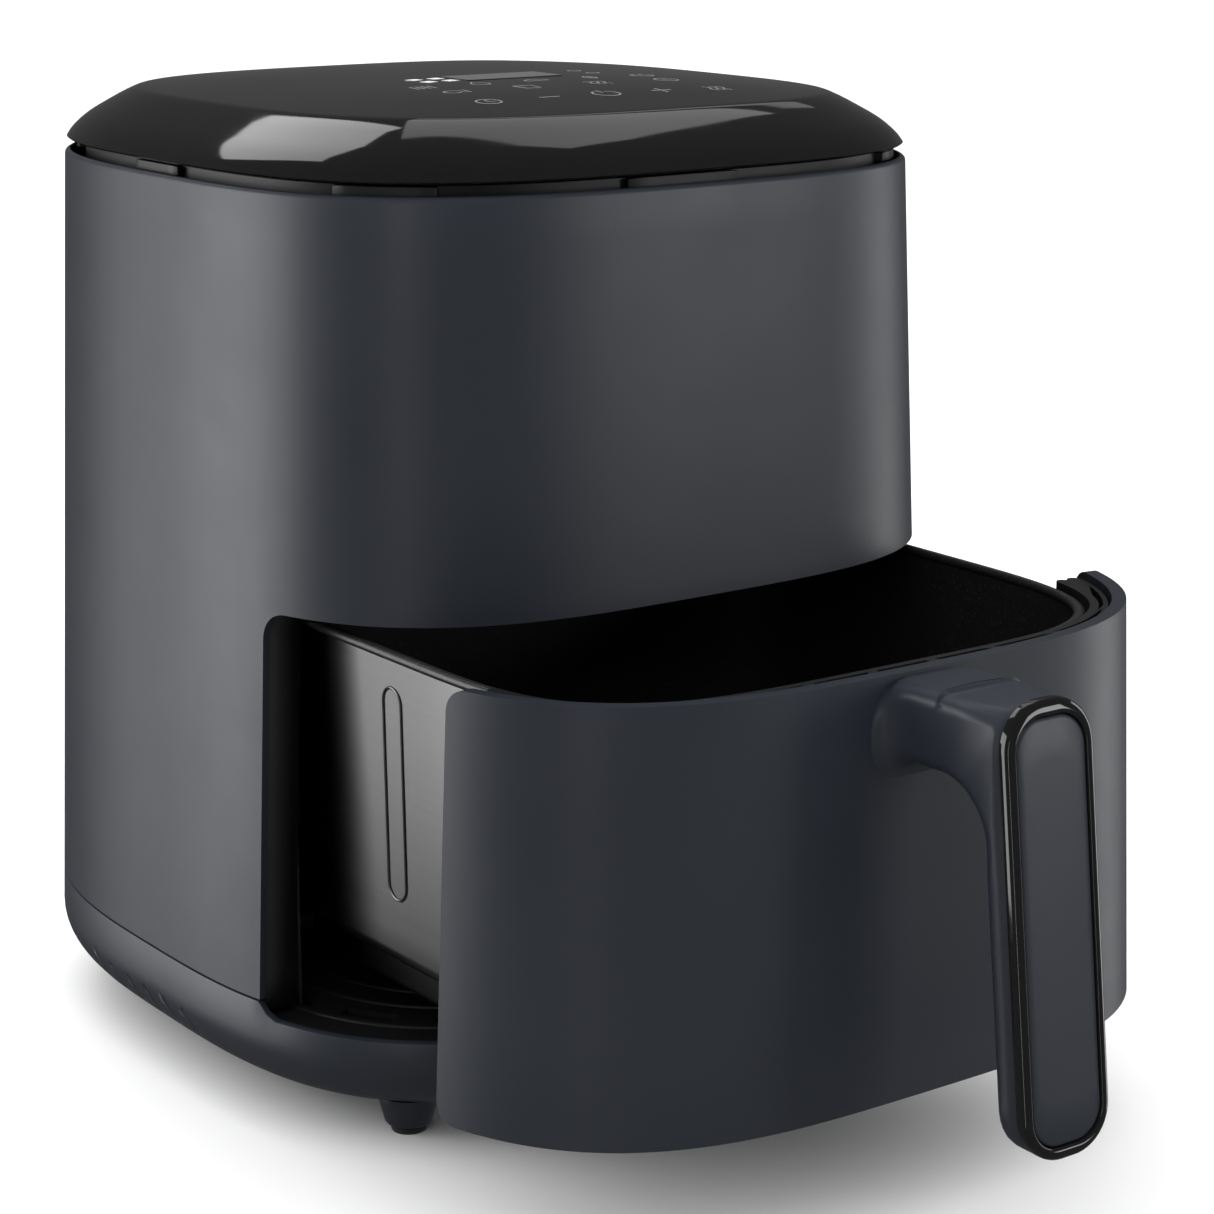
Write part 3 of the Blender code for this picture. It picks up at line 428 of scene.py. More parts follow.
def merged(*sheets):
    """Several meshes as one, with the points they share joined."""
    bm = bmesh.new()
    for sheet in sheets:
        mesh = bpy.data.meshes.new("sheet")
        sheet.to_mesh(mesh)
        sheet.free()
        bm.from_mesh(mesh)
        bpy.data.meshes.remove(mesh)
    bmesh.ops.remove_doubles(bm, verts=bm.verts, dist=0.00001)
    return bm


def plate(outlines, low, high, axis="Z"):
    """An outline with any holes, made thick along an axis: (x, y) for Z, (y, z) for X, (x, z) for Y."""
    scale = 1000
    curve = bpy.data.curves.new("outline", "CURVE")
    curve.dimensions = "2D"
    curve.fill_mode = "BOTH"
    curve.extrude = (high - low) / 2 * scale
    for points in outlines:
        spline = curve.splines.new("POLY")
        spline.points.add(len(points) - 1)
        for target, (u, v) in zip(spline.points, points):
            target.co = (u * scale, v * scale, 0, 1)
        spline.use_cyclic_u = True
    holder = bpy.data.objects.new("outline", curve)
    bpy.context.scene.collection.objects.link(holder)
    made = bpy.data.meshes.new_from_object(holder.evaluated_get(bpy.context.evaluated_depsgraph_get()))
    bm = bmesh.new()
    bm.from_mesh(made)
    bpy.data.objects.remove(holder)
    bmesh.ops.remove_doubles(bm, verts=bm.verts, dist=0.02)
    middle = (low + high) / 2
    for vert in bm.verts:
        u, v, depth = vert.co / scale
        places = {"Z": (u, v, depth + middle), "X": (depth + middle, u, v), "Y": (u, depth + middle, v)}
        vert.co = places[axis]
    return bm


def tube(path, radius, facing, sides=8, closed=True):
    """A round bead along a path; facing is a direction that the path never runs along."""
    rings = []
    count = len(path)
    for i, point in enumerate(path):
        ahead = path[(i + 1) % count] if closed else path[min(i + 1, count - 1)]
        behind = path[i - 1] if closed else path[max(i - 1, 0)]
        along = (Vector(ahead) - Vector(behind)).normalized()
        side = along.cross(Vector(facing)).normalized()
        rise = side.cross(along)
        rings.append([Vector(point) + radius * (side * math.cos(math.tau * k / sides)
                                                + rise * math.sin(math.tau * k / sides))
                      for k in range(sides)])
    return skin(rings, closed_rows=closed, closed_columns=True, caps=not closed)


def face_outwards(bm):
    """Turns the faces of each closed body out, by the sign of the body's own volume."""
    bmesh.ops.recalc_face_normals(bm, faces=bm.faces)
    bm.normal_update()
    left = set(bm.faces)
    while left:
        waiting, body_faces = [left.pop()], []
        while waiting:
            face = waiting.pop()
            body_faces.append(face)
            for edge in face.edges:
                for beside in edge.link_faces:
                    if beside in left:
                        left.remove(beside)
                        waiting.append(beside)
        if all(edge.is_manifold for face in body_faces for edge in face.edges):
            near = body_faces[0].verts[0].co.copy()
            volume = sum(face.calc_area() * face.normal.dot(face.calc_center_median() - near)
                         for face in body_faces)
            if volume < 0:
                bmesh.ops.reverse_faces(bm, faces=body_faces)


def piece(name, bm, finish, body, nodes=(), place=IN_BODY, wall=0.0, bevel=0.0, cutters=(), turn=35):
    """Makes a named piece from a mesh, adds its wall, cuts and bevel, and lets it ride on a body."""
    face_outwards(bm)
    mesh = bpy.data.meshes.new(name)
    bm.to_mesh(mesh)
    bm.free()
    mesh.transform(place)
    mesh.materials.append(finish.material)
    mesh.shade_smooth()
    mesh.set_sharp_from_angle(angle=math.radians(turn))
    made = bpy.data.objects.new(name, mesh)
    bpy.context.scene.collection.objects.link(made)
    if wall:
        thick = made.modifiers.new("Wall", "SOLIDIFY")
        thick.thickness = wall
        thick.offset = -1.0
        thick.use_even_offset = True
    for cutter in cutters:
        step = made.modifiers.new("Cut", "BOOLEAN")
        step.operation = "DIFFERENCE"
        step.solver = "EXACT"
        step.object = cutter
    if bevel:
        edge = made.modifiers.new("Edge", "BEVEL")
        edge.width = bevel
        edge.segments = 3
        edge.limit_method = "ANGLE"
        edge.angle_limit = math.radians(40)
        edge.harden_normals = True
    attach(made, body)
    if nodes:
        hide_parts(*nodes)
    return made


def apply_modifiers(made):
    """Freezes a piece's modifiers into its mesh, so that its cutters can go."""
    depsgraph = bpy.context.evaluated_depsgraph_get()
    frozen = bpy.data.meshes.new_from_object(made.evaluated_get(depsgraph))
    made.modifiers.clear()
    made.data = frozen


def cutter_from(bm, place=IN_BODY):
    face_outwards(bm)
    mesh = bpy.data.meshes.new("cutter")
    bm.to_mesh(mesh)
    bm.free()
    mesh.transform(place)
    made = bpy.data.objects.new("cutter", mesh)
    bpy.context.scene.collection.objects.link(made)
    return made


def opening_edge(z):
    """How far back the drawer opening reaches at a height, with its upper corner rounded."""
    rise = z - (OPENING_TOP - OPENING_RADIUS)
    if rise <= 0:
        return OPENING_BACK
    return OPENING_BACK - OPENING_RADIUS + math.sqrt(max(OPENING_RADIUS ** 2 - rise ** 2, 0.0))


def make_casing():
    """The upright casing with the drawer opening, the grille's window and the inlet's hole."""
    corner = OPENING_TOP - OPENING_RADIUS
    lower = spread(SEAM_Z, corner, 12)
    bend = [corner + OPENING_RADIUS * math.sin(math.radians(a)) for a in spread(10, 90, 8)]
    upper = spread(OPENING_TOP, RIM_Z - RIM_ROUND, 10)[1:]
    rim = [(RIM_Z - RIM_ROUND * (1 - math.sin(math.radians(a))), RIM_ROUND * (1 - math.cos(math.radians(a))))
           for a in (22, 45, 68, 90)]
    levels = [(z, 0.0) for z in lower + bend + upper] + rim
    around, across = [], []
    for z, inset in levels:
        right = edge_angle(opening_edge(min(z, OPENING_TOP)), z, inset)
        turns = spread(right, math.pi - right, CASING_STEPS)
        around.append([(*body_point(a, z, inset), z) for a in turns])
        if z >= OPENING_TOP - 1e-7:
            turns = spread(math.pi - right, math.tau + right, FRONT_STEPS)
            across.append([(*body_point(a, z, inset), z) for a in turns])
    grille_low, grille_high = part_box("exhaust_grille")
    gland_low, gland_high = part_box("cord_gland")
    margin = 0.0006
    gap = plate([rounded_box(grille_low.x - margin, grille_low.z - margin, grille_high.x + margin,
                             grille_high.z + margin, 0.0036)], 0.10, 0.16, "Y")
    inlet = ((gland_low.x + gland_high.x) / 2, (gland_low.z + gland_high.z) / 2)
    hole = plate([arc(inlet, (gland_high.x - gland_low.x) / 2 + margin, 0, 352.5, 47)], 0.10, 0.16, "Y")
    cutters = [cutter_from(gap), cutter_from(hole)]
    made = piece("casing", merged(skin(around), skin(across)), slate, "housing",
                 ["outer_shell"], wall=SHELL_WALL, bevel=0.0006, cutters=cutters)
    apply_modifiers(made)
    for cutter in cutters:
        bpy.data.objects.remove(cutter)


def make_base():
    """The base, its top edge high at the sides and back and low under the drawer opening."""
    def top_at(y):
        share = smooth_step((y - (OPENING_BACK - 0.0050)) / 0.0055)
        return OPENING_SILL + (SEAM_Z - SEAM_GAP - OPENING_SILL) * share

    def upper_ring(below, inset):
        ring = []
        for i in range(FINE):
            angle = math.tau * i / FINE
            z = top_at(body_point(angle, SEAM_Z)[1]) - below
            ring.append((*body_point(angle, z, inset), z))
        return ring

    rings = [body_ring(FLOOR_GAP, 0.100), body_ring(FLOOR_GAP, 0.045), body_ring(FLOOR_GAP, BASE_FILLET)]
    for a in spread(8, 90, 11):
        turn = math.radians(a)
        rings.append(body_ring(FLOOR_GAP + BASE_FILLET * (1 - math.cos(turn)),
                               BASE_FILLET * (1 - math.sin(turn))))
    rings += [upper_ring(0.0008, 0.0), upper_ring(0.0003, 0.00015), upper_ring(0.0, 0.0006),
              upper_ring(0.0, SHELL_WALL), upper_ring(0.0030, SHELL_WALL + 0.0002)]
    rings += [body_ring(FLOOR_GAP + BASE_FILLET, SHELL_WALL + 0.0004),
              body_ring(FLOOR_GAP + 0.0070, 0.0090), body_ring(FLOOR_GAP + SHELL_WALL, BASE_FILLET + 0.002),
              body_ring(FLOOR_GAP + SHELL_WALL, 0.100)]
    slits = []
    for side in (-1, 1):
        near, far = sorted((side * VENT_INNER_X, side * VENT_OUTER_X))
        for i in range(VENT_COUNT):
            low_y = VENT_FIRST_Y - VENT_PITCH * i
            high_y = low_y + VENT_LEAN
            slit = [(low_y, VENT_LOW), (low_y + VENT_WIDTH, VENT_LOW),
                    (high_y + VENT_WIDTH, VENT_HIGH), (high_y, VENT_HIGH)]
            slits.append(plate([slit], near, far, "X"))
    cutter = cutter_from(merged(*slits))
    made = piece("base", skin(rings, closed_columns=True, caps=True), slate, "housing",
                 ["base_pan"], cutters=[cutter])
    apply_modifiers(made)
    bpy.data.objects.remove(cutter)


# The lid as (height above its lower edge, inset): a sharp edge, a round shoulder, a crease and a flat dome.
LID_CURVE = [(0.0008, 0.0006), (0.0034, 0.0022), (0.0078, 0.0066), (0.0122, 0.0132), (0.0148, 0.0175),
             (0.0165, 0.0208), (0.0170, 0.0220), (0.01728, 0.0231), (0.0176, 0.0258), (0.0186, 0.0370),
             (0.0203, 0.0580), (0.0214, 0.0840), (0.0218, 0.1170)]


def lid_height(inset):
    """Height of the lid above its lower edge at an inset, smoothly through LID_CURVE."""
    points = LID_CURVE
    for i in range(len(points) - 1):
        (z0, s0), (z1, s1) = points[i], points[i + 1]
        if inset <= s1 or i == len(points) - 2:
            before, after = points[max(i - 1, 0)], points[min(i + 2, len(points) - 1)]
            width = s1 - s0
            share = min(max((inset - s0) / width, 0.0), 1.0)
            start = (z1 - before[0]) / (s1 - before[1]) * width
            finish = (after[0] - z0) / (after[1] - s0) * width
            square, cube = share ** 2, share ** 3
            return ((2 * cube - 3 * square + 1) * z0 + (cube - 2 * square + share) * start
                    + (3 * square - 2 * cube) * z1 + (cube - square) * finish)


def lid_surface(x, y):
    """Height of the lid's top over a point near its middle."""
    depth = FRONT_DEPTH if y < 0 else BACK_DEPTH
    power = POWER_FRONT if y < 0 else POWER_BACK
    low, high = 0.0, 0.1170
    for _ in range(30):
        inset = (low + high) / 2
        if abs(x / (HALF_WIDTH - inset)) ** power + abs(y / (depth - inset)) ** power < 1:
            low = inset
        else:
            high = inset
    return LID_EDGE_Z + lid_height(low)


def make_lid():
    steps = [0.0006, 0.0010, 0.0016, 0.0024, 0.0036, 0.0052, 0.0072, 0.0098, 0.0130, 0.0158, 0.0184]
    steps += spread(0.0200, 0.0250, 12)
    steps += [0.0275, 0.0310, 0.0360, 0.0430, 0.0540, 0.0680, 0.0840, 0.1000, 0.1120, 0.1165]
    under = [(LID_EDGE_Z + 0.0190, 0.1165), (LID_EDGE_Z + 0.0150, 0.0400), (LID_EDGE_Z + 0.0100, 0.0180),
             (LID_EDGE_Z + 0.0040, 0.0075), (LID_EDGE_Z, 0.0052), (LID_EDGE_Z, 0.0030),
             (LID_EDGE_Z + 0.0002, 0.0014)]
    rings = [body_ring(z, inset) for z, inset in under]
    rings += [body_ring(LID_EDGE_Z + lid_height(inset), inset) for inset in steps]
    piece("lid", skin(rings, closed_columns=True, caps=True), gloss, "housing", ["lid_cover"],
          turn=50)

    low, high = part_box("display_window")
    margin = 0.0001
    glass = [(x, y - BODY_Y) for x, y in rounded_box(low.x, low.y, high.x, high.y, 0.0013)]
    bm = plate([glass], LID_TOP_Z - 0.0010, LID_TOP_Z + margin)
    piece("display", bm, smoke, "housing", ["display_window"], bevel=0.00012)
    border = [(x, y, lid_surface(x, y) + 0.00002) for x, y in glass]
    piece("display_border", tube(border, 0.00022, (0, 0, 1)), black, "housing")


def ribbon(points, width, closed=False):
    """A flat printed stroke that lies on the lid along (x, y) points."""
    thick = 0.00006
    count = len(points)
    rings = []
    for i in range(count):
        ahead = Vector(points[(i + 1) % count] if closed else points[min(i + 1, count - 1)])
        behind = Vector(points[i - 1] if closed else points[max(i - 1, 0)])
        along = (ahead - behind).normalized()
        side = Vector((-along.y, along.x)) * width / 2
        centre = Vector(points[i])
        ring = []
        for shift, rise in ((side, 0), (side, thick), (-side, thick), (-side, 0)):
            x, y = centre + shift
            ring.append((x, y, lid_surface(x, y) + 0.00001 + rise))
        rings.append(ring)
    return skin(rings, closed_rows=closed, closed_columns=True, caps=not closed)


def make_marks():
    """Generic touch marks in a grid before the display, with no lettering."""
    def ring(radius, start=0.0, end=360.0):
        closed = end - start >= 360
        return arc((0, 0), radius, start, end - (12 if closed else 0), 29), closed

    def line(*points):
        return list(points), False

    bars = [line((x, -2.6), (x + 0.6, 2.8)) for x in (-2.4, -0.8, 0.8, 2.4)]
    drop = [(arc((0, -0.6), 2.3, -215, 35, 24) + [(0.0, 3.8)], True)]
    slice_of = [(arc((0, -1.2), 3.2, 0, 180, 20), True)]
    leaf = [(arc((-1.8, 0), 3.2, -52, 52, 14) + arc((1.8, 0), 3.2, 128, 232, 14), True),
            line((0, -3.2), (0, 1.6))]
    tail = [(arc((-0.6, 0), 2.1, 25, 335, 24) + [(3.4, -2.0), (3.4, 2.0)], True)]
    bowl = [(arc((0, 1.0), 3.3, 180, 360, 20), True),
            line((-1.2, 2.2), (-1.2, 3.6)), line((1.2, 2.2), (1.2, 3.6))]
    cup = [line((-2.6, 2.4), (-1.9, -2.8), (1.9, -2.8), (2.6, 2.4), (-2.6, 2.4))]
    clock = [ring(3.0), line((0, 1.8), (0, 0), (1.4, -0.6))]
    heat = [line(*[(x + 0.5 * math.sin(y * 1.6), y) for y in spread(-2.8, 2.8, 14)])
            for x in (-2.0, 0.0, 2.0)]
    power = [ring(3.4, 115, 425), line((0, 1.4), (0, 4.4))]
    minus, plus = [line((-2.8, 0), (2.8, 0))], [line((-2.8, 0), (2.8, 0)), line((0, -2.8), (0, 2.8))]
    small = [ring(1.6)]
    layout = [(bars, -44, -38), (drop, -22, -38), (slice_of, 0, -38), (leaf, 22, -38), (bowl, 44, -38),
              (tail, -42, -54), (cup, -14, -54), (heat, 14, -54), (clock, 42, -54),
              (clock, -45, -78), (minus, -22, -78), (power, 0, -78), (plus, 22, -78), (heat, 44, -79),
              (small, 34, -12), (small, 34, -23)]
    sheets = []
    for drawing, x, y in layout:
        for points, closed in drawing:
            placed = [((u * MARK_GROWTH + x) * MARK_UNIT, (v * MARK_GROWTH + y) * MARK_UNIT)
                      for u, v in points]
            sheets.append(ribbon(placed, MARK_STROKE, closed))
    piece("touch_marks", merged(*sheets), marks, "housing")
    sheets = []
    for x, y in ((-32.0, -14.0), (-32.0, -23.0), (-23.5, -14.0), (-23.5, -23.0)):
        path = [((x - DOT_HALF + 2 * DOT_HALF * share) * MARK_UNIT, (y - 0.5 + share) * MARK_UNIT)
                for share in spread(0, 1, 4)]
        sheets.append(ribbon(path, DOT_STROKE))
    piece("display_marks", merged(*sheets), bright_marks, "housing")


def body_sleeve(low, high, outer, inner):
    """A closed band that follows the body between two heights and two insets."""
    corners = ((low, outer), (high, outer), (high, inner), (low, inner))
    return skin([body_ring(z, inset) for z, inset in corners], closed_rows=True, closed_columns=True)


def make_vent_channel():
    """The dark ring and blocks under the lid, with an inner wall that closes the view through the gap."""
    low, high = (corner.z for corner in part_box("vent_ring"))
    sheets = [body_sleeve(low, high, RING_OUTER, RING_INNER),
              body_sleeve(low, LID_EDGE_Z + DAM_RISE, DAM_OUTER, DAM_INNER)]
    for start, end in ((-7.5, 6), (38, 52), (82, 98), (128, 142), (174, 187.5), (219.3, 232.4), (258, 276.8),
                       (307.6, 320.7)):
        turns = [math.radians(a) for a in spread(start, end, 12)]
        tab = []
        for i, a in enumerate(turns):
            ease = 0.0010 if i in (0, len(turns) - 1) else 0.0
            tab.append([(*body_point(a, RIM_Z, inset), z) for inset, z in
                        ((0.0034 + ease, RIM_Z - 0.0005), (0.0034 + ease, high - ease / 3),
                         (0.0080, high - ease / 3), (0.0080, RIM_Z - 0.0005))])
        sheets.append(skin(tab, closed_columns=True, caps=True))
    piece("vent_channel", merged(*sheets), black, "housing", ["vent_ring"], bevel=0.0003)


def make_opening():
    """The returns behind the opening's edge, black as painted shade over the casing's slate, and the slotted tray
    below.
    """
    outer, inner = [], []
    corner = OPENING_TOP - OPENING_RADIUS
    heights = spread(OPENING_SILL + 0.001, corner, 10)
    heights += [corner + OPENING_RADIUS * math.sin(math.radians(a)) for a in spread(10, 90, 8)]
    back, deep, edge = 0.0014, 0.0112, 0.0022
    for z in heights:
        y = opening_edge(z)
        a = edge_angle(y, z, edge)
        x = body_point(a, z, edge)[0]
        outer.append((x, y + back, z + back * smooth_step((z - corner) / OPENING_RADIUS)))
        reach = deep * (1 - 0.35 * smooth_step((z - corner) / OPENING_RADIUS))
        inner.append((x - reach, y + back, z + back * smooth_step((z - corner) / OPENING_RADIUS)))
    right = edge_angle(OPENING_BACK - OPENING_RADIUS, OPENING_TOP, edge)
    for a in spread(math.tau + right, math.pi - right, FRONT_STEPS)[1:-1]:
        outer.append((*body_point(a, OPENING_TOP, edge), OPENING_TOP + back))
        inner.append((*body_point(a, OPENING_TOP, edge + deep), OPENING_TOP + back))
    count = len(heights)
    outer += [(-x, y, z) for x, y, z in reversed(outer[:count])]
    inner += [(-x, y, z) for x, y, z in reversed(inner[:count])]
    # Painted shade: the returns get the black finish for the shade in the opening, though they are of the casing's
    # slate.
    piece("opening_returns", skin([outer, inner]), black, "housing", ["opening_frame"],
          wall=0.0010, turn=60)

    low, high = (corner.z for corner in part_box("cavity_floor"))
    outlines = [[body_point(math.tau * i / 160, low, SHELL_WALL + 0.0010) for i in range(160)]]
    for i in range(TRAY_SLOTS):
        first = TRAY_SLOT_FIRST + TRAY_SLOT_PITCH * i
        turns = [math.radians(first + TRAY_SLOT_SWEEP * k / 6) for k in range(7)]
        slot = [body_point(a, low, 0.0178) for a in turns]
        outlines.append(slot + [body_point(a, low, 0.0228) for a in reversed(turns)])
    piece("tray", plate(outlines, low, high), black, "housing", ["cavity_floor"],
          bevel=0.0004)
    beads = []
    for inset in (0.0140, 0.0290, 0.0400):
        turns = [math.radians(a) for a in spread(206, 334, 90)]
        path = [(*body_point(a, low, inset), high) for a in turns]
        beads.append(tube(path, 0.0008, (0, 0, 1), closed=False))
    piece("tray_beads", merged(*beads), black, "housing")


def make_back():
    """The exhaust grille with its vanes, and the ribbed mains inlet."""
    low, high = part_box("exhaust_grille")
    y_out = high.y - BODY_Y
    slots, vanes = [], []
    for i in range(5):
        z = low.z + 0.0057 + 0.009 * i
        slots.append(rounded_box(-0.030, z, 0.030, z + 0.0045, 0.0018, 4))
        vane = [(y_out - 0.0036, z + 0.0002), (y_out - 0.0026, z + 0.0002), (y_out - 0.0008, z + 0.0040),
                (y_out - 0.0018, z + 0.0040)]
        vanes.append(plate([vane], -0.0310, 0.0310, "X"))
    frame_edge = rounded_box(low.x, low.z, high.x, high.z, 0.003)
    bm = merged(plate([frame_edge] + slots, low.y - BODY_Y, y_out, "Y"), *vanes)
    piece("grille", bm, black, "housing", ["exhaust_grille"], bevel=0.0003)

    low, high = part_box("cord_gland")
    middle_x, middle_z, radius = (low.x + high.x) / 2, (low.z + high.z) / 2, (high.x - low.x) / 2
    start, tip = low.y - BODY_Y, high.y - BODY_Y
    profile = [(start, radius), (start + 0.012, radius), (start + 0.0125, radius - 0.0004)]
    for i in range(3):
        y = start + 0.0135 + 0.0026 * i
        grown = radius - 0.0010 - 0.0010 * i
        profile += [(y, grown - 0.0010), (y + 0.0004, grown),
                    (y + 0.0016, grown), (y + 0.0020, grown - 0.0010)]
    profile += [(tip, radius - 0.0046), (tip, 0.0036), (start, 0.0036)]
    rings = [[(middle_x + r * math.cos(math.tau * k / 40), y, middle_z + r * math.sin(math.tau * k / 40))
              for k in range(40)] for y, r in profile]
    piece("gland", skin(rings, closed_rows=True, closed_columns=True), rubber, "housing",
          ["cord_gland"])


def turned(profile, x, y, steps):
    """A shape turned about an upright axis, from its (radius, height) profile."""
    rings = [[(x + r * math.cos(math.tau * k / steps), y + r * math.sin(math.tau * k / steps), z)
              for k in range(steps)] for r, z in profile]
    return skin(rings, closed_columns=True, caps=True)


def make_feet():
    for end in ("front", "rear"):
        for side in ("left", "right"):
            low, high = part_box("foot_%s_%s" % (end, side))
            pad_low, pad_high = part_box("foot_pad_%s_%s" % (end, side))
            x, y = (low.x + high.x) / 2, (low.y + high.y) / 2
            wide, pad = (high.x - low.x) / 2, (pad_high.x - pad_low.x) / 2
            profile = [(0.0010, high.z), (wide, high.z), (wide, high.z - 0.0010),
                       (wide * 0.95, high.z - 0.0035), (wide * 0.80, low.z + 0.0012),
                       (wide * 0.72, low.z + 0.0002), (wide * 0.66, low.z), (0.0010, low.z)]
            piece("foot_stem_%s_%s" % (end, side), turned(profile, x, y, 48), slate, "housing",
                  ["foot_%s_%s" % (end, side)], place=Matrix())
            profile = [(0.0010, pad_high.z), (pad * 0.93, pad_high.z), (pad, pad_high.z - 0.0004),
                       (pad, 0.0005), (pad * 0.94, 0.0), (pad * 0.62, 0.0), (pad * 0.58, 0.0004),
                       (0.0010, 0.0004)]
            piece("foot_tread_%s_%s" % (end, side), turned(profile, x, y, 40), rubber, "housing",
                  ["foot_pad_%s_%s" % (end, side)], place=Matrix())


def make_drawer():
    """The drawer's outer skin and the pocketed moulding behind its top edge."""
    radius = SKIN_RADIUS
    heights = [SKIN_LOW + radius * (1 - math.cos(math.radians(a))) for a in spread(0, 90, 9)]
    heights += spread(SKIN_LOW + radius, SKIN_HIGH - radius, 14)[1:-1]
    heights += [SKIN_HIGH - radius * (1 - math.sin(math.radians(a))) for a in spread(0, 90, 9)]
    rows = []
    for z in heights:
        near = min(z - SKIN_LOW, SKIN_HIGH - z)
        y = SKIN_BACK
        if near < radius:
            y = SKIN_BACK - radius + math.sqrt(max(radius ** 2 - (radius - near) ** 2, 0.0))
        right = edge_angle(y, z)
        rows.append([(*body_point(a, z), z) for a in spread(math.pi - right, math.tau + right, 150)])
    piece("drawer_skin", skin(rows), slate, "drawer", ["drawer_front"], IN_DRAWER,
          wall=SKIN_LIP, bevel=0.0008)

    frame_low, frame_high = (corner.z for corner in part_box("drawer_frame"))
    top = frame_high - 0.0012
    middle = (frame_low + frame_high) / 2
    limit = OPENING_BACK - 0.0048
    outer = [body_point(math.radians(206 + 128 * i / 120), top, SKIN_LIP + 0.0004) for i in range(121)]
    inner = [basket_point(math.radians(208 + 124 * i / 120), -0.0006) for i in range(121)]
    outer = [point for point in outer if point[1] < limit]
    inner = [point for point in inner if point[1] < limit]
    scallops = []
    for k in range(2):
        share = (k + 0.5) / 2
        x = outer[-1][0] + (inner[-1][0] - outer[-1][0]) * share
        wide = abs(outer[-1][0] - inner[-1][0]) / 4 * 0.94
        scallops += [(x + wide * math.cos(a), limit + wide * math.sin(a))
                     for a in spread(0, math.pi, 10)]
    mirror = [(-x, y) for x, y in reversed(scallops)]
    pockets = []
    for i in range(9):
        turns = [math.radians(216.8 + 12.05 * i + 10.2 * k / 6) for k in range(7)]
        near = [body_point(a, middle, SKIN_LIP + 0.0020) for a in turns]
        far = [basket_point(a, -0.0030) for a in reversed(turns)]
        pockets.append(near + far)
    outline = outer + scallops + list(reversed(inner)) + mirror
    piece("drawer_lattice", plate([outline] + pockets, frame_low, top), black, "drawer",
          ["drawer_frame"], IN_DRAWER, bevel=0.0005)


def offset_profile(profile, distance):
    """A (z, inset) profile moved sideways towards the basket's inside."""
    moved = []
    for i, (z, inset) in enumerate(profile):
        z_before, s_before = profile[max(i - 1, 0)]
        z_after, s_after = profile[min(i + 1, len(profile) - 1)]
        along = Vector((z_after - z_before, s_after - s_before)).normalized()
        moved.append((z - along.y * distance, inset + along.x * distance))
    return moved


def make_basket():
    floor, rim, step = BASKET_FLOOR_Z, BASKET_RIM_Z, BASKET_STEP_Z
    wall = [(floor + 0.0004, 0.0960), (floor + 0.0004, 0.0600), (floor, 0.0240), (floor, 0.0160),
            (floor + 0.0006, 0.0126), (floor + 0.0018, 0.0106), (floor + 0.0036, 0.0099),
            (step - 0.0030, 0.0096), (step - 0.0012, 0.0092), (step - 0.0003, 0.0080), (step, 0.0058),
            (step + 0.0004, 0.0044), (step + 0.0014, 0.0037), (step + 0.0040, 0.0035)]

    def wall_inset(z):
        return WALL_LOW_INSET - WALL_LEAN * (z - step) / (rim - step)

    wall += [(z, wall_inset(z)) for z in spread(step + 0.010, rim - 0.0030, 8)]

    def rings(profile):
        return [[(*basket_point(math.tau * i / FINE, inset), z) for i in range(FINE)] for z, inset in profile]

    for name, finish, slot, near, far in (("basket_shell", satin, "satin_steel", 0.0, 0.0006),
                                          ("basket_lining", coating, "dark_coating", 0.00065, 0.0012)):
        loop = offset_profile(wall, near) + list(reversed(offset_profile(wall, far)))
        bm = skin(rings(loop), closed_columns=True, caps=True)
        piece(name, bm, finish, "drawer", ["basket"], IN_DRAWER, turn=50)
    bead = [(rim - BEAD + BEAD * math.sin(math.tau * k / 16), 0.0020 + BEAD * math.cos(math.tau * k / 16))
            for k in range(16)]
    piece("basket_rim", skin(rings(bead), closed_rows=True, closed_columns=True), coating, "drawer",
          place=IN_DRAWER)

    beads = []
    for side in (-1, 1):
        for centre in (0.0, 0.0770):
            outline = rounded_box(centre - 0.0050, 0.0880, centre + 0.0050, 0.1560, 0.00499, 10)
            path = []
            for along, z in outline:
                inset = wall_inset(z)
                share = abs(along / (BASKET_DEPTH - inset)) ** BASKET_POWER
                x = (BASKET_WIDTH - inset) * (1 - share) ** (1 / BASKET_POWER)
                path.append((side * x, along + BASKET_Y, z))
            beads.append(tube(path, 0.00055, (1, 0, 0)))
    piece("basket_embossing", merged(*beads), satin, "drawer", place=IN_DRAWER)


def lean(z):
    """How far forward the handle's front face is at a height."""
    return GRIP_FRONT - GRIP_LEAN * (GRIP_FRONT_Z - z)


def front_half(z):
    """Half the width of the handle's front outline at a height, with its rounded ends."""
    near = min(z - GRIP_BOTTOM, GRIP_TOP - z)
    if near >= BEZEL_RADIUS:
        return HANDLE_HALF
    near = max(near, 0.0)
    return HANDLE_HALF - BEZEL_RADIUS + math.sqrt(BEZEL_RADIUS ** 2 - (BEZEL_RADIUS - near) ** 2)


def handle_section(low, high, radius, half, count=7):
    """A rounded section between a point on the handle's inner side and one on its outer side."""
    low, high = Vector(low), Vector(high)
    tall = (high - low).length
    radius = min(radius, tall / 2 - 0.0002, half - 0.0002)
    ring = []
    for u, v in rounded_box(-half, 0.0, half, tall, radius, count):
        y, z = low + (high - low) * (v / tall)
        if z < GRIP_BOTTOM + BEZEL_RADIUS:
            ease = 1.0
        else:
            ease = smooth_step(1 - (y - lean(z) - BEZEL_DEPTH) / 0.0160)
        limit = half - ease * max(half - front_half(z) * half / HANDLE_HALF, 0.0)
        ring.append([u * limit / half, y, z])
    return ring


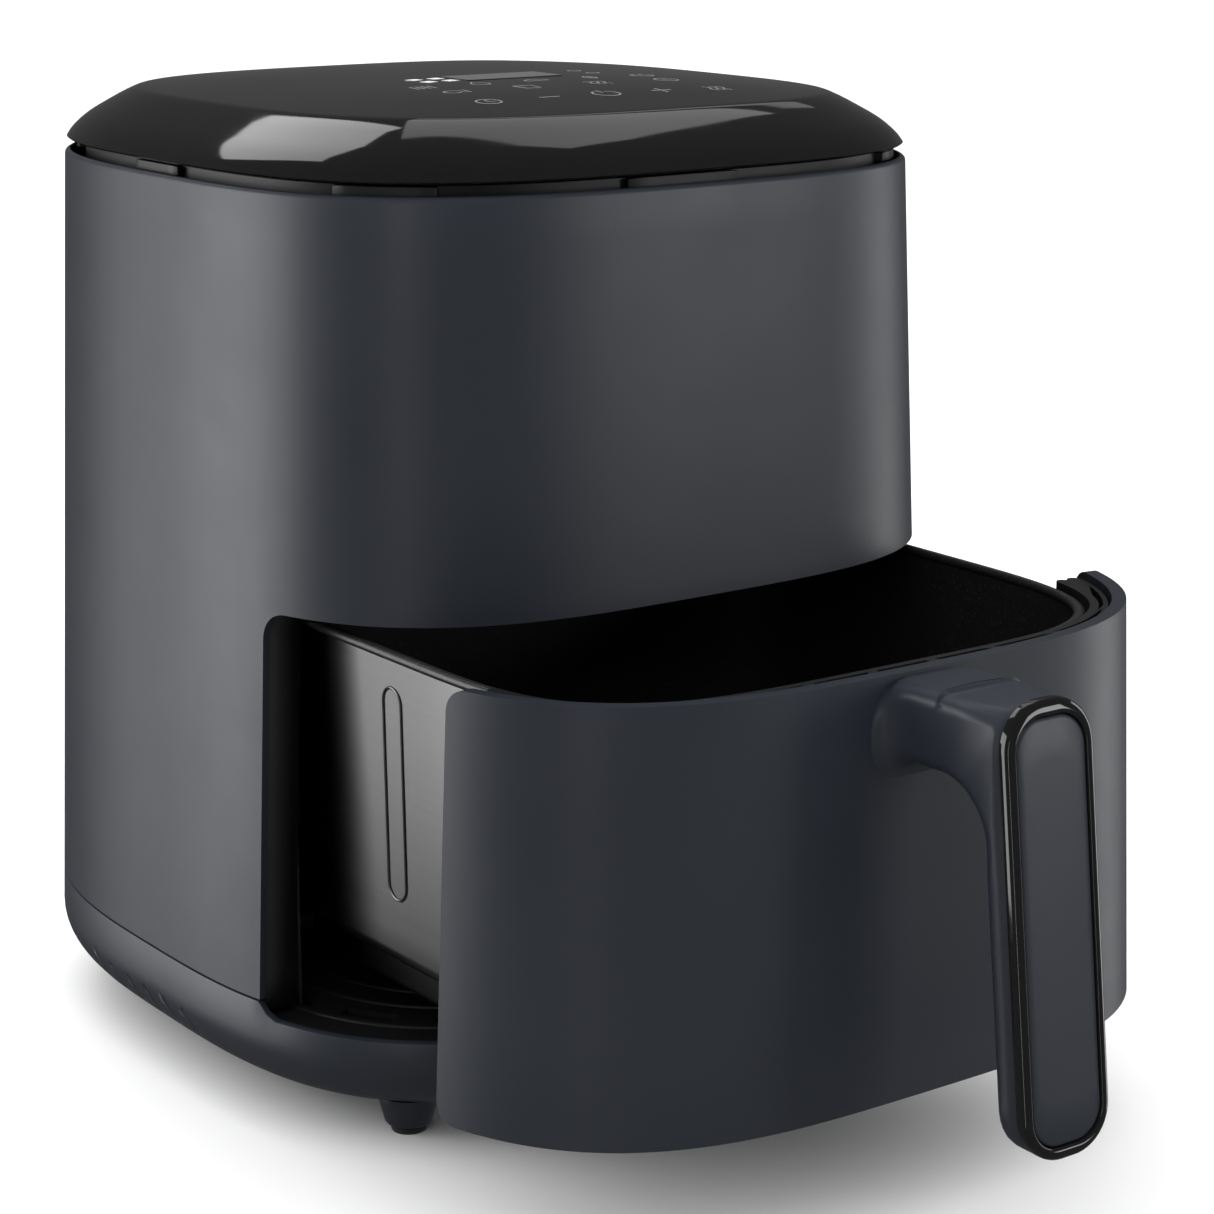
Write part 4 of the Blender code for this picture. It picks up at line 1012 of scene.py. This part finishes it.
def make_handle():
    root = -(FRONT_DEPTH + SLOPE_FRONT * (RIM_Z - 0.16))
    rings = []
    for share in spread(0, 1, 22):
        y = root + 0.0020 + (ARM_SEAM - root - 0.0020) * share ** 1.5
        away = max(root - y, 0.0)
        spare = 0.0
        if away < ARM_FLARE:
            spare = ARM_FLARE - math.sqrt(ARM_FLARE ** 2 - (ARM_FLARE - away) ** 2)
        top = ARM_TOP - 0.0004 + 0.0008 * share
        ring = handle_section((y, ARM_BOTTOM - spare), (y, top), 0.0048 + spare, HANDLE_HALF + spare * 0.60)
        rings.append([(x, depth - SEAM_BOW * x * x * share, z) for x, depth, z in ring])
    piece("arm", skin(rings, closed_columns=True, caps=True), slate, "drawer",
          ["handle_arm"], IN_DRAWER, turn=60)

    plane = BEZEL_DEPTH + 0.0003
    centre = Vector((lean(ARM_BOTTOM - GRIP_CORNER) + GRIP_DEPTH + GRIP_CORNER, ARM_BOTTOM - GRIP_CORNER))
    rings = []
    top_now = ARM_TOP + 0.0004
    for share in spread(0, 1, 5)[:-1]:
        y = ARM_SEAM + (centre.x - ARM_SEAM) * share
        ring = handle_section((y, ARM_BOTTOM), (y, top_now + 0.0010 * share), 0.0048, HANDLE_HALF)
        rings.append([(x, depth - SEAM_BOW * x * x * (1 - share), z) for x, depth, z in ring])
    top_z = GRIP_TOP - 0.0014
    outer_corner = 0.0050
    for turn in spread(90, 180, 22):
        direction = Vector((math.cos(math.radians(turn)), math.sin(math.radians(turn))))
        inside = centre + direction * GRIP_CORNER
        reaches = []
        if direction.y > 1e-6:
            reaches.append((top_z - 0.0012 - centre.y) / direction.y)
        if direction.x < -1e-6:
            reaches.append((lean(centre.y) + plane - centre.x) / direction.x)
        reach = sum(away ** -9 for away in reaches) ** (-1 / 9)
        outside = centre + direction * reach
        outside.x = max(outside.x, lean(outside.y) + plane)
        rings.append(handle_section(inside, outside, outer_corner, HANDLE_HALF))
    for share in spread(0, 1, 26)[1:]:
        z = centre.y + (GRIP_BOTTOM - centre.y) * (1 - (1 - share) ** 1.25)
        thin = 0.0 if share < 0.9 else (share - 0.9) * 0.03
        inside = Vector((lean(z) + GRIP_DEPTH - thin, z))
        outside = Vector((lean(z) + plane, z))
        rings.append(handle_section(inside, outside, 0.0042, HANDLE_HALF))
    piece("grip", skin(rings, closed_columns=True, caps=True), slate, "drawer",
          ["handle_grip"], IN_DRAWER, turn=60)

    path = [(x, ARM_SEAM - SEAM_BOW * x * x, top_now + 0.00002) for x in spread(-SEAM_HALF, SEAM_HALF, 16)]
    piece("arm_seam", tube(path, 0.00016, (0, 0, 1), closed=False), black, "drawer",
          place=IN_DRAWER)

    insert_low, insert_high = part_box("handle_insert")
    half, low_z, high_z = insert_high.x, insert_low.z, insert_high.z
    outline = rounded_box(-HANDLE_HALF, GRIP_BOTTOM, HANDLE_HALF, GRIP_TOP, BEZEL_RADIUS, 14)
    window = rounded_box(-half - INLAY_GAP, low_z - INLAY_GAP, half + INLAY_GAP, high_z + INLAY_GAP,
                         INLAY_RADIUS + INLAY_GAP, 14)
    steps = [(BEZEL_DEPTH, 0.0), (0.0020, 0.0), (0.0012, 0.0002), (0.0006, 0.0007), (0.0002, 0.0014),
             (0.0, 0.0023)]
    rings = []
    for depth, share in steps:
        part = min(share / 0.0035, 1.0)
        rings.append([(x0 + (x1 - x0) * part, lean(z0 + (z1 - z0) * part) + depth, z0 + (z1 - z0) * part)
                      for (x0, z0), (x1, z1) in zip(outline, window)])
    for depth, share in ((0.0, 0.80), (0.0003, 0.94), (0.0009, 1.0), (BEZEL_DEPTH, 1.0)):
        rings.append([(x0 + (x1 - x0) * share, lean(z0 + (z1 - z0) * share) + depth, z0 + (z1 - z0) * share)
                      for (x0, z0), (x1, z1) in zip(outline, window)])
    piece("bezel", skin(rings, closed_rows=True, closed_columns=True), gloss, "drawer",
          ["handle_bezel"], IN_DRAWER, turn=60)

    edge = rounded_box(-half, low_z, half, high_z, INLAY_RADIUS, 14)
    centre_z = (low_z + high_z) / 2
    rings = []
    for depth, scale in ((BEZEL_DEPTH, 1.0), (0.0014, 1.0), (0.0009, 0.985), (0.0006, 0.95), (0.0004, 0.80),
                         (0.0003, 0.50), (0.0003, 0.10)):
        ring = []
        for x, z in edge:
            height = centre_z + (z - centre_z) * (1 - (1 - scale) * 0.35 if scale > 0.9 else scale)
            ring.append((x * scale, lean(height) + depth, height))
        rings.append(ring)
    piece("inlay", skin(rings, closed_columns=True, caps=True), slate, "drawer",
          ["handle_insert"], IN_DRAWER, turn=60)


def make_crisper():
    low, high = (corner.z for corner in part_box("crisper_plate"))
    slots = []
    for row in range(-4, 5):
        for column in (-1, 0, 1):
            x, y = column * 0.0560, BASKET_Y + row * 0.0190
            slots.append(rounded_box(x - 0.0220, y - 0.0035, x + 0.0220, y + 0.0035, 0.0034, 5))
    outline = [basket_point(math.tau * i / 160, 0.0140) for i in range(160)]
    piece("crisper", plate([outline] + slots, low, high), coating, "crisper",
          ["crisper_plate"], IN_DRAWER, bevel=0.0004)


def make_studio():
    """A pale floor, soft light from both sides and above, and the camera."""
    floor_mesh = bpy.data.meshes.new("floor")
    wide = FLOOR_HALF
    corners = [(-wide, -wide, 0), (wide, -wide, 0), (wide, wide, 0), (-wide, wide, 0)]
    floor_mesh.from_pydata(corners, [], [(0, 1, 2, 3)])
    paper = Finish("paper", Roughness=0.9)
    paper.feed("Base Color", paper.blend(paper.noise(3.0), (0.90, 0.90, 0.90), (0.92, 0.92, 0.92)))
    floor_mesh.materials.append(paper.material)
    floor = bpy.data.objects.new("floor", floor_mesh)
    bpy.context.scene.collection.objects.link(floor)
    floor.visible_glossy = False

    world = bpy.data.worlds.new("studio")
    world.use_nodes = True
    world.node_tree.nodes["Background"].inputs["Color"].default_value = (1.0, 1.0, 1.0, 1.0)
    world.node_tree.nodes["Background"].inputs["Strength"].default_value = WORLD_STRENGTH
    bpy.context.scene.world = world
    bpy.context.scene.view_settings.view_transform = "Standard"

    overhead = bpy.data.lights.new("sky", "SUN")
    overhead.energy = SKY_STRENGTH
    overhead.angle = math.radians(SKY_ANGLE)
    sky = bpy.data.objects.new("sky", overhead)
    sky.visible_glossy = False
    bpy.context.scene.collection.objects.link(sky)

    target = Vector((0.0, 0.0, 0.16))
    for name, place, wide, tall, power in (
            ("softbox_left", (-1.55, 1.25, 0.25), 1.3, 1.7, 30.0),
            ("softbox_right", (1.9, -0.35, 0.10), 0.7, 1.6, 9.0),
            ("softbox_front", (1.30, -1.90, 0.45), 0.7, 0.8, 10.0),
            ("softbox_edge", (-1.60, -1.30, 0.10), 0.08, 1.8, 4.0),
            ("softbox_lid", (-0.12, 1.25, 1.56), 0.85, 0.80, 6.0),
            ("softbox_over", (0.75, 0.75, 1.70), 0.9, 0.7, 2.2),
            ("softbox_crease", (1.15, 1.20, 1.40), 0.9, 0.25, 0.4)):
        light = bpy.data.lights.new(name, "AREA")
        light.shape = "RECTANGLE"
        light.size = wide
        light.size_y = tall
        light.energy = power
        lamp = bpy.data.objects.new(name, light)
        bpy.context.scene.collection.objects.link(lamp)
        lamp.location = place
        lamp.rotation_euler = (target - Vector(place)).to_track_quat("-Z", "Y").to_euler()

    camera = bpy.data.cameras.new("camera")
    camera.sensor_width = SENSOR
    camera.lens = LENS
    seen = bpy.data.objects.new("camera", camera)
    bpy.context.scene.collection.objects.link(seen)
    seen.location = CAMERA_PLACE
    seen.rotation_euler = Vector(CAMERA_AIM).to_track_quat("-Z", "Y").to_euler()
    bpy.context.scene.camera = seen


make_casing()
make_base()
make_lid()
make_marks()
make_vent_channel()
make_opening()
make_back()
make_feet()
make_drawer()
make_basket()
make_handle()
make_crisper()
make_studio()

bpy.context.view_layer.update()
